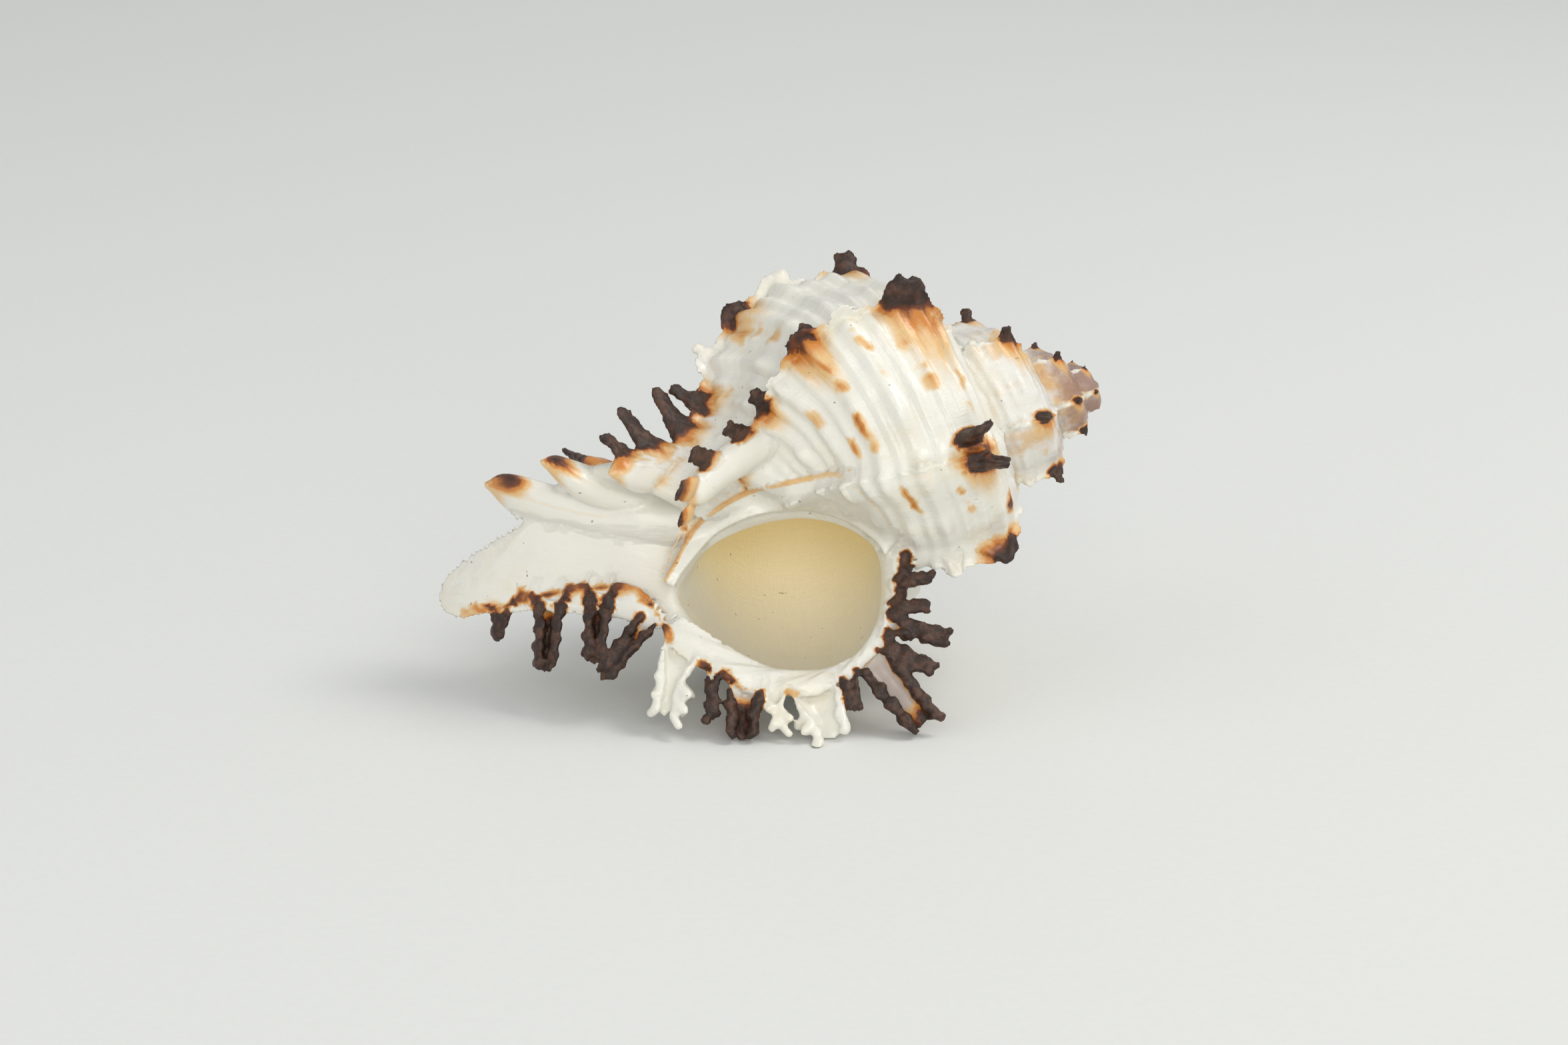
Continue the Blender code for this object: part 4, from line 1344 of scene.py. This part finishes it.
@dataclass
class MurexShell:
    """The whole shell: every part grown together in one mesh that carries what its surface is like."""

    growth: Growth = field(default_factory=Growth)
    voxel: float = 0.30 * MM
    triangles: int = 194000
    ridge_step: float = 60.0
    spire_ridges: int = 17
    relax_rounds: int = 2
    relax_pulls: Pair = (0.5, -0.52)
    blend_points: int = 4
    blend_near: float = 0.05 * MM
    wrinkle: float = 0.26 * MM
    wrinkles_per_metre: float = 900.0
    name: str = "murex_shell"
    whorls: Whorls = field(default_factory=Whorls)

    def ridges(self) -> list[Ridge]:
        """Every ridge.

        Returns:
            The ridges from the lip back to the spire's tip.
        """
        near = [Ridge(0.0, LIP_FRONDS, Build.TROUGH), Ridge(-60.0, SIDE_FRONDS[:-1]),
                Ridge(-120.0, SIDE_FRONDS[:-1]), Ridge(-180.0, SIDE_FRONDS), Ridge(-240.0, FRONT_FRONDS),
                Ridge(-300.0, FACE_FRONDS, frill=0.15), Ridge(-360.0, SHOULDER_FRONDS, frill=0.8)]
        numbers = range(len(near), len(near) + self.spire_ridges)
        return near + [Ridge(-self.ridge_step * number, SPIRE_FRONDS, frill=0.7) for number in numbers]

    def skin(self) -> Skin:
        """All the tubes that grow together to the shell.

        Returns:
            The skin with the wall, fronds, margins, canals and inner lip.
        """
        skin = Skin()
        ridges = self.ridges()
        self.whorls.prepare(ridges)
        self.whorls.grow(skin)
        bed = FrondBed(self.growth)
        margin = Margin(self.whorls, self.growth)
        for ridge, rows in self.whorls.frond_lines:
            bed.grow(skin, ridge)
            if ridge.build is Build.TROUGH:
                margin.lip_roll(skin, ridge, rows, bed)
            else:
                margin.frill(skin, ridge, rows)
        CanalBundle(self.growth).grow(skin)
        InnerLip(self.whorls, self.growth).grow(skin)
        return skin

    def evaluated(self, item: bpy.types.Object) -> bpy.types.Mesh:
        """An object's mesh with its modifiers."""
        graph = bpy.context.evaluated_depsgraph_get()
        return bpy.data.meshes.new_from_object(item.evaluated_get(graph))

    def fused(self, skin: Skin) -> bpy.types.Mesh:
        """The skin's tubes grown together: one surface, with what lay inside gone.

        Args:
            skin: the tubes.

        Returns:
            The surface, in triangles.
        """
        item = new_object("growing", skin.mesh("growing"))
        joined = item.modifiers.new("grow together", "REMESH")
        joined.mode = "VOXEL"
        joined.voxel_size = self.voxel
        item.data = self.evaluated(item)
        item.modifiers.clear()
        self.relax(item.data, self.relax_rounds)
        count = sum(len(face.vertices) - 2 for face in item.data.polygons)
        fewer = item.modifiers.new("fewer faces", "DECIMATE")
        fewer.ratio = min(1.0, self.triangles / count)
        mesh = self.evaluated(item)
        bpy.data.objects.remove(item)
        log.info("fused surface: %d triangles of %d", len(mesh.polygons), count)
        return mesh

    def relax(self, mesh: bpy.types.Mesh, rounds: int) -> None:
        """Even out the small steps of a fused surface without shrinking it.

        Args:
            mesh: the surface.
            rounds: how often each point moves.
        """
        points = mesh_points(mesh)
        edges = np.empty(2 * len(mesh.edges), int)
        mesh.edges.foreach_get("vertices", edges)
        one, two = edges.reshape(-1, 2).T
        near = np.bincount(one, minlength=len(points)) + np.bincount(two, minlength=len(points))
        for pull in self.relax_pulls * rounds:
            total = np.stack([
                np.bincount(one, side[two], len(points)) + np.bincount(two, side[one], len(points))
                for side in points.T], axis=1)
            points = points + pull * (total / near[:, None] - points)
        move_points(mesh, points)

    def crinkle(self, mesh: bpy.types.Mesh, tint: np.ndarray) -> None:
        """Wrinkle the dark fronds' surface, and leave the smooth white wall as it is.

        Args:
            mesh: the fused surface.
            tint: how brown each point is.
        """
        depth = self.wrinkle * smooth_step(tint, 0.45, 0.85)
        points, normals = mesh_points(mesh), np.empty(3 * len(depth))
        mesh.vertex_normals.foreach_get("vector", normals)
        normals = normals.reshape(-1, 3)
        for index in np.flatnonzero(depth > 0):
            spot = Vector(points[index]) * self.wrinkles_per_metre
            swell = noise.noise(spot) + 0.6 * noise.noise(2.1 * spot)
            points[index] += normals[index] * (depth[index] * swell)
        move_points(mesh, points)

    def carry_traits(self, mesh: bpy.types.Mesh, skin: Skin) -> dict[str, np.ndarray]:
        """Give each point of the mesh the traits of the skin's points around it.

        Args:
            mesh: the fused surface.
            skin: what it grew from.

        Returns:
            Each trait by name, for every point of the mesh.
        """
        source = skin.all_points()
        tree = KDTree(len(source))
        for index, point in enumerate(source.tolist()):
            tree.insert(point, index)
        tree.balance()
        found = [tree.find_n(vertex.co, self.blend_points) for vertex in mesh.vertices]
        index = np.array([[hit[1] for hit in hits] for hits in found])
        apart = np.array([[hit[2] for hit in hits] for hits in found])
        weight = 1 / (apart + self.blend_near)
        weight /= weight.sum(axis=1)[:, None]
        return {name: (skin.trait(name)[index] * weight).sum(axis=1) for name in TRAITS}

    def build(self) -> bpy.types.Object:
        """Make the shell's mesh object with its traits as attributes.

        Returns:
            The object.
        """
        skin = self.skin()
        log.info("skin: %d points", skin.count)
        mesh = self.fused(skin)
        points = mesh_points(mesh)
        points[:, 2] = np.maximum(points[:, 2], 0.0)
        mesh.vertices.foreach_set("co", points.reshape(-1))
        carried = self.carry_traits(mesh, skin)
        self.crinkle(mesh, carried["tint"])
        for name, values in carried.items():
            attribute = mesh.attributes.new(name, "FLOAT", "POINT")
            attribute.data.foreach_set("value", values.astype(np.float32))
        mesh.name = self.name
        mesh.shade_smooth()
        return new_object(self.name, mesh)


class Field:
    """A value that varies over a surface: a node's socket that takes part in sums."""

    def __init__(self, bench: "Bench", socket: bpy.types.NodeSocket) -> None:
        """Wrap a socket of one of the bench's nodes."""
        self.bench = bench
        self.socket = socket

    def joined(self, operation: str, first: "Number", second: "Number") -> "Field":
        """One Math node on two values."""
        inputs = {0: first, 1: second}
        return self.bench.node("ShaderNodeMath", {"operation": operation}, inputs).field()

    def __add__(self, other: "Number") -> "Field":
        """The sum."""
        return self.joined("ADD", self, other)

    def __radd__(self, other: "Number") -> "Field":
        """The sum, with a plain number first."""
        return self.joined("ADD", other, self)

    def __sub__(self, other: "Number") -> "Field":
        """The difference."""
        return self.joined("SUBTRACT", self, other)

    def __rsub__(self, other: "Number") -> "Field":
        """The difference, from a plain number."""
        return self.joined("SUBTRACT", other, self)

    def __mul__(self, other: "Number") -> "Field":
        """The product."""
        return self.joined("MULTIPLY", self, other)

    def __rmul__(self, other: "Number") -> "Field":
        """The product, with a plain number first."""
        return self.joined("MULTIPLY", other, self)

    def ramp(self, low: float, high: float) -> "Field":
        """0 below low, 1 above high, and an even slope between."""
        inputs = {"Value": self, "From Min": low, "From Max": high, "To Min": 0.0, "To Max": 1.0}
        settings = {"interpolation_type": "SMOOTHSTEP"}
        return self.bench.node("ShaderNodeMapRange", settings, inputs).field()


Number = Union[Field, float]
Input = Union[Field, float, Sequence[float]]


class Made:
    """A node that has been made, and its outputs."""

    def __init__(self, bench: "Bench", node: bpy.types.Node) -> None:
        """Keep a node of the bench's."""
        self.bench = bench
        self.node = node

    def field(self, output: Union[int, str] = 0) -> Field:
        """One of the node's outputs."""
        return Field(self.bench, self.node.outputs[output])


class Bench:
    """Where one material's nodes are made."""

    def __init__(self, name: str) -> None:
        """Start an empty material.

        Args:
            name: the material's name.
        """
        self.material = bpy.data.materials.new(name)
        self.material.use_nodes = True
        self.nodes = self.material.node_tree.nodes
        self.links = self.material.node_tree.links
        self.nodes.clear()

    def node(self, kind: str, settings: Optional[dict[str, object]] = None,
             inputs: Optional[dict[Union[int, str], Input]] = None) -> Made:
        """Make one node.

        Args:
            kind: the node's type.
            settings: what is set on the node before its sockets.
            inputs: a value or a field for each socket named or numbered.

        Returns:
            The node.
        """
        node = self.nodes.new(kind)
        for name, value in (settings or {}).items():
            setattr(node, name, value)
        for name, value in (inputs or {}).items():
            if isinstance(value, Field):
                self.links.new(value.socket, node.inputs[name])
            else:
                node.inputs[name].default_value = value
        return Made(self, node)

    def trait(self, name: str) -> Field:
        """One of the surface's own traits."""
        return self.node("ShaderNodeAttribute", {"attribute_name": name}).field("Fac")

    def mixed(self, share: Number, first: Union[Field, Triple], second: Union[Field, Triple]) -> Field:
        """A colour that goes from the first to the second as share goes from 0 to 1."""
        ends = [end if isinstance(end, Field) else (*end, 1.0) for end in (first, second)]
        inputs = {0: share, 6: ends[0], 7: ends[1]}
        return self.node("ShaderNodeMix", {"data_type": "RGBA"}, inputs).field(2)

    def vector(self, x: Number, y: Number, z: Number) -> Field:
        """Three values as one vector."""
        return self.node("ShaderNodeCombineXYZ", None, {0: x, 1: y, 2: z}).field()

    def noise(self, where: Field, scale: float, detail: float = 2.0, roughness: float = 0.5) -> Field:
        """Uneven values around 0.5 over a vector."""
        inputs = {"Vector": where, "Scale": scale, "Detail": detail, "Roughness": roughness}
        return self.node("ShaderNodeTexNoise", None, inputs).field("Fac")

    def finish(self, **sockets: Input) -> bpy.types.Material:
        """Close the material with a Principled shader.

        Args:
            **sockets: a value or a field for each of its sockets, with underscores for spaces.

        Returns:
            The material.
        """
        inputs = {name.replace("_", " "): value for name, value in sockets.items()}
        shader = self.node("ShaderNodeBsdfPrincipled", None, inputs)
        self.node("ShaderNodeOutputMaterial", None, {"Surface": Field(self, shader.node.outputs[0])})
        return self.material


@dataclass(frozen=True)
class ShellFinish:
    """The shell's colours and gloss, with painted light inside the mouth: a paler lower part and a faint
    painted glow.
    """

    milk: Triple = (0.80, 0.785, 0.705)
    lilac: Triple = (0.70, 0.69, 0.71)
    straw: Triple = (0.74, 0.63, 0.36)
    ochre: Triple = (0.73, 0.42, 0.11)
    orange: Triple = (0.60, 0.22, 0.035)
    rust: Triple = (0.16, 0.042, 0.014)
    umber: Triple = (0.028, 0.012, 0.007)
    bark: Triple = (0.088, 0.037, 0.020)
    floor_of_groove: Triple = (0.50, 0.41, 0.37)
    cream: Triple = (0.92, 0.77, 0.38)
    # Painted light: the paler, brighter tone of the mouth's inside low down, where light reaches it
    painted_light_pearl: Triple = (0.93, 0.86, 0.66)
    # Painted glow: a faint light that the mouth's inside gives off, standing in for light shining through
    # the thin shell
    painted_glow_colour: Triple = (1.0, 0.82, 0.42)
    worn_tip: Triple = (0.30, 0.155, 0.11)
    soil: Triple = (0.25, 0.18, 0.10)
    cloud_scale: float = 55.0
    dust_scale: float = 130.0
    patch_scale: float = 190.0
    rub_scale: float = 300.0
    mottle_scale: float = 420.0
    bark_scale: float = 650.0
    speck_scale: float = 1150.0
    rough_scale: float = 1300.0
    grain_scale: float = 1500.0
    bump_depth: float = 0.35 * MM
    refraction: float = 1.5
    coat_roughness: float = 0.12
    painted_glow_strength: float = 0.07

    def wall(self, bench: Bench, where: Field) -> Field:
        """The glossy white of the wall, with lilac and straw clouds, browner towards the spire's tip.

        Args:
            bench: where the nodes are made.
            where: position on the shell.

        Returns:
            The colour.
        """
        age = bench.trait("age")
        open_wall = 1.0 - bench.trait("callus")
        clouds = bench.noise(where, self.cloud_scale, 4.0, 0.6)
        colour = bench.mixed(clouds.ramp(0.50, 0.75) * 0.55 * open_wall, self.milk, self.lilac)
        dusty = bench.noise(where, self.dust_scale, 5.0, 0.7).ramp(0.47, 0.75)
        colour = bench.mixed(dusty * (0.30 + 0.45 * age) * open_wall, colour, self.straw)
        colour = bench.mixed(age.ramp(0.0, 0.5) * 0.35, colour, self.lilac)
        patches = bench.noise(where, self.patch_scale, 4.0, 0.65).ramp(0.47, 0.64)
        colour = bench.mixed(patches * age.ramp(0.02, 0.5) * 0.75, colour, self.ochre)
        rubbed = age * 1.10 + bench.noise(where, self.rub_scale, 4.0, 0.65) * 0.75
        return bench.mixed(rubbed.ramp(1.02, 1.50) * 0.9, colour, self.worn_tip)

    def stained(self, bench: Bench, colour: Field, where: Field) -> tuple[Field, Field]:
        """The wall with its brown stains and dark fronds.

        Args:
            bench: where the nodes are made.
            colour: the wall's colour.
            where: position on the shell.

        Returns:
            The colour, and how brown it is.
        """
        tint = bench.trait("tint")
        trail = bench.vector(bench.trait("girth") * 1.3, bench.trait("turn") * 0.05, 0.0)
        streaks = bench.noise(trail, 1.0, 3.0, 0.6)
        mottle = bench.noise(where, self.mottle_scale, 4.0, 0.65)
        shade = tint * (0.62 + 0.76 * streaks) + (mottle - 0.5) * 0.18 * tint.ramp(0.0, 0.3)
        colour = bench.mixed(bench.trait("groove") * 0.85, colour, self.floor_of_groove)
        colour = bench.mixed(shade.ramp(0.02, 0.14) * 0.80, colour, self.ochre)
        colour = bench.mixed(shade.ramp(0.13, 0.28), colour, self.orange)
        colour = bench.mixed(shade.ramp(0.28, 0.46), colour, self.rust)
        crumbs = bench.noise(where, self.bark_scale, 3.0, 0.7).ramp(0.42, 0.68)
        bark = bench.mixed(crumbs, self.umber, self.bark)
        return bench.mixed(shade.ramp(0.44, 0.66), colour, bark), shade

    def material(self) -> bpy.types.Material:
        """The whole shell's material.

        Returns:
            The material.
        """
        bench = Bench("glossy_shell")
        where = bench.node("ShaderNodeTexCoord").field("Object")
        turn, girth = bench.trait("turn"), bench.trait("girth")
        within = bench.trait("within")
        # Inside the hollow the wall turns a yellower cream, painted lighter towards the lower part as
        # painted light
        height = bench.node("ShaderNodeSeparateXYZ", None, {0: where}).field("Z")
        deep = bench.mixed(height.ramp(0.006, 0.024), self.painted_light_pearl, self.cream)
        colour = bench.mixed(within * 0.95, self.wall(bench, where), deep)
        colour, shade = self.stained(bench, colour, where)
        specks = bench.noise(where, self.speck_scale, 1.0, 0.5).ramp(0.765, 0.785)
        colour = bench.mixed(specks * 0.7 * (1.0 - shade.ramp(0.2, 0.4)), colour, self.soil)
        growth_lines = bench.noise(bench.vector(turn * 0.9, girth * 0.12, 0.0), 1.0, 3.0, 0.6)
        threads = bench.noise(bench.vector(girth * 2.2, turn * 0.02, 4.0), 1.0, 2.0, 0.5)
        grain = bench.noise(where, self.grain_scale, 3.0, 0.6)
        relief = growth_lines * 0.5 + threads * 0.4 + grain * 0.18
        rough_bark = bench.noise(where, self.rough_scale, 3.0, 0.7) * shade.ramp(0.4, 0.6) * 0.9
        calm = 1.0 - bench.trait("callus") * 0.85
        inputs = {"Strength": 0.5, "Distance": self.bump_depth, "Height": relief * calm + rough_bark}
        bump = bench.node("ShaderNodeBump", None, inputs)
        gloss = 0.26 + 0.18 * shade.ramp(0.2, 0.6) + 0.14 * bench.noise(where, self.rub_scale, 3.0, 0.6)
        coat = 0.25 - 0.25 * shade.ramp(0.2, 0.5)
        # Painted glow inside the hollow and on the inner lip's curl, standing in for light shining through
        # the thin shell
        painted_glow_inside = bench.mixed(within, (0.0, 0.0, 0.0), self.painted_glow_colour)
        return bench.finish(Base_Color=colour, Roughness=gloss - 0.06 * bench.trait("callus"),
                            IOR=self.refraction, Coat_Weight=coat, Coat_Roughness=self.coat_roughness,
                            Normal=bump.field(), Emission_Color=painted_glow_inside, Emission_Strength=self.painted_glow_strength)


@dataclass(frozen=True)
class FloorFinish:
    """The pale paper that the shell rests on."""

    paper: Triple = (0.78, 0.79, 0.775)

    def material(self) -> bpy.types.Material:
        """The paper's material.

        Returns:
            The material.
        """
        bench = Bench("pale_paper")
        where = bench.node("ShaderNodeTexCoord").field("Object")
        grain = bench.noise(where, 900.0, 3.0, 0.6)
        inputs = {"Strength": 0.06, "Distance": 0.0002, "Height": grain}
        bump = bench.node("ShaderNodeBump", None, inputs)
        darker = tuple(0.985 * part for part in self.paper)
        shade = bench.mixed(grain.ramp(0.3, 0.7), self.paper, darker)
        return bench.finish(Base_Color=shade, Roughness=0.9, Normal=bump.field())


@dataclass(frozen=True)
class Lamp:
    """One soft square lamp: where it hangs, its side in metres, its power in watts and what it faces."""

    name: str
    place: Triple
    size: float
    power: float
    colour: Triple
    aim: Triple = (0.0, 0.0, 0.025)


# Above right, in front, opposite, and over the floor behind the shell
LAMPS = (
    Lamp("window", (0.72, -0.05, 0.95), 0.50, 5.2, (1.0, 0.985, 0.95)),
    Lamp("front", (0.12, -1.2, 0.42), 0.8, 6.2, (1.0, 0.975, 0.93)),
    Lamp("fill", (-0.9, -0.6, 0.7), 1.0, 1.4, (0.95, 0.97, 1.0)),
    Lamp("back", (0.0, 1.0, 0.7), 0.4, 0.6, (1.0, 1.0, 1.0), (0.0, 1.0, 0.0)))


@dataclass
class Studio:
    """Floor, light and camera."""

    growth: Growth = field(default_factory=Growth)
    pole_in_view: Triple = (43.76 * MM, 18.56 * MM, -400.0 * MM)
    lens: float = 70.0
    sensor: float = 36.0
    ground: float = -0.2 * MM
    floor_front: float = -2.5
    floor_bend: float = 1.6
    floor_radius: float = 0.9
    floor_half: float = 4.0
    floor_top: float = 4.0
    sky_colour: Triple = (0.93, 0.94, 0.94)
    sky_strength: float = 0.60

    def floor(self) -> bpy.types.Object:
        """Lay a pale sheet that curves up far behind the shell.

        Returns:
            The sheet.
        """
        start, radius, half = self.floor_bend, self.floor_radius, self.floor_half
        curve = [(self.floor_front, 0.0), (start, 0.0)]
        for bend in map(math.radians, range(6, 91, 6)):
            curve.append((start + radius * math.sin(bend), radius - radius * math.cos(bend)))
        curve.append((start + radius, self.floor_top))
        points = [(x, y, z + self.ground) for y, z in curve for x in (-half, half)]
        faces = [(2 * row, 2 * row + 1, 2 * row + 3, 2 * row + 2) for row in range(len(curve) - 1)]
        mesh = bpy.data.meshes.new("floor")
        mesh.from_pydata(points, [], faces)
        mesh.shade_smooth()
        mesh.materials.append(FloorFinish().material())
        floor = new_object("floor", mesh)
        return floor

    def camera(self) -> bpy.types.Object:
        """Set the camera so that the coil's pole is where the photograph shows it.

        Returns:
            The camera, which looks against the way that the mouth faces.
        """
        tilt = math.radians(self.growth.face_rise)
        rise, run = math.sin(tilt), math.cos(tilt)
        turned = Matrix(((1, 0, 0), (0, rise, -run), (0, run, rise)))
        data = bpy.data.cameras.new("camera")
        data.lens = self.lens
        data.sensor_width = self.sensor
        data.clip_start = 0.01
        camera = new_object("camera", data)
        place = Vector(self.growth.pole) - turned @ Vector(self.pole_in_view)
        camera.matrix_world = Matrix.Translation(place) @ turned.to_4x4()
        bpy.context.scene.camera = camera
        return camera

    def light(self) -> None:
        """Hang the lamps and set an even sky."""
        for lamp in LAMPS:
            data = bpy.data.lights.new(lamp.name, "AREA")
            data.size = lamp.size
            data.energy = lamp.power
            data.color = lamp.colour
            item = new_object(lamp.name, data)
            item.location = lamp.place
            item.rotation_mode = "QUATERNION"
            item.rotation_quaternion = (Vector(lamp.aim) - Vector(lamp.place)).to_track_quat("-Z", "Y")
        world = bpy.data.worlds.new("sky")
        world.use_nodes = True
        sky = world.node_tree.nodes["Background"]
        sky.inputs["Color"].default_value = (*self.sky_colour, 1)
        sky.inputs["Strength"].default_value = self.sky_strength
        bpy.context.scene.world = world
        bpy.context.scene.view_settings.view_transform = "Standard"


def main() -> None:
    """Build the shell, dress it and set the studio around it."""
    logging.basicConfig(level=logging.INFO, format="%(name)s: %(message)s")
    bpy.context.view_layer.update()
    studio = Studio()
    studio.camera()
    studio.floor()
    studio.light()
    shell = MurexShell().build()
    shell.data.materials.append(ShellFinish().material())
    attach(shell, "root")
    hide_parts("shell")
    log.info("piece %s: %d faces", shell.name, len(shell.data.polygons))
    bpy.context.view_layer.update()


if __name__ == "__main__":
    main()
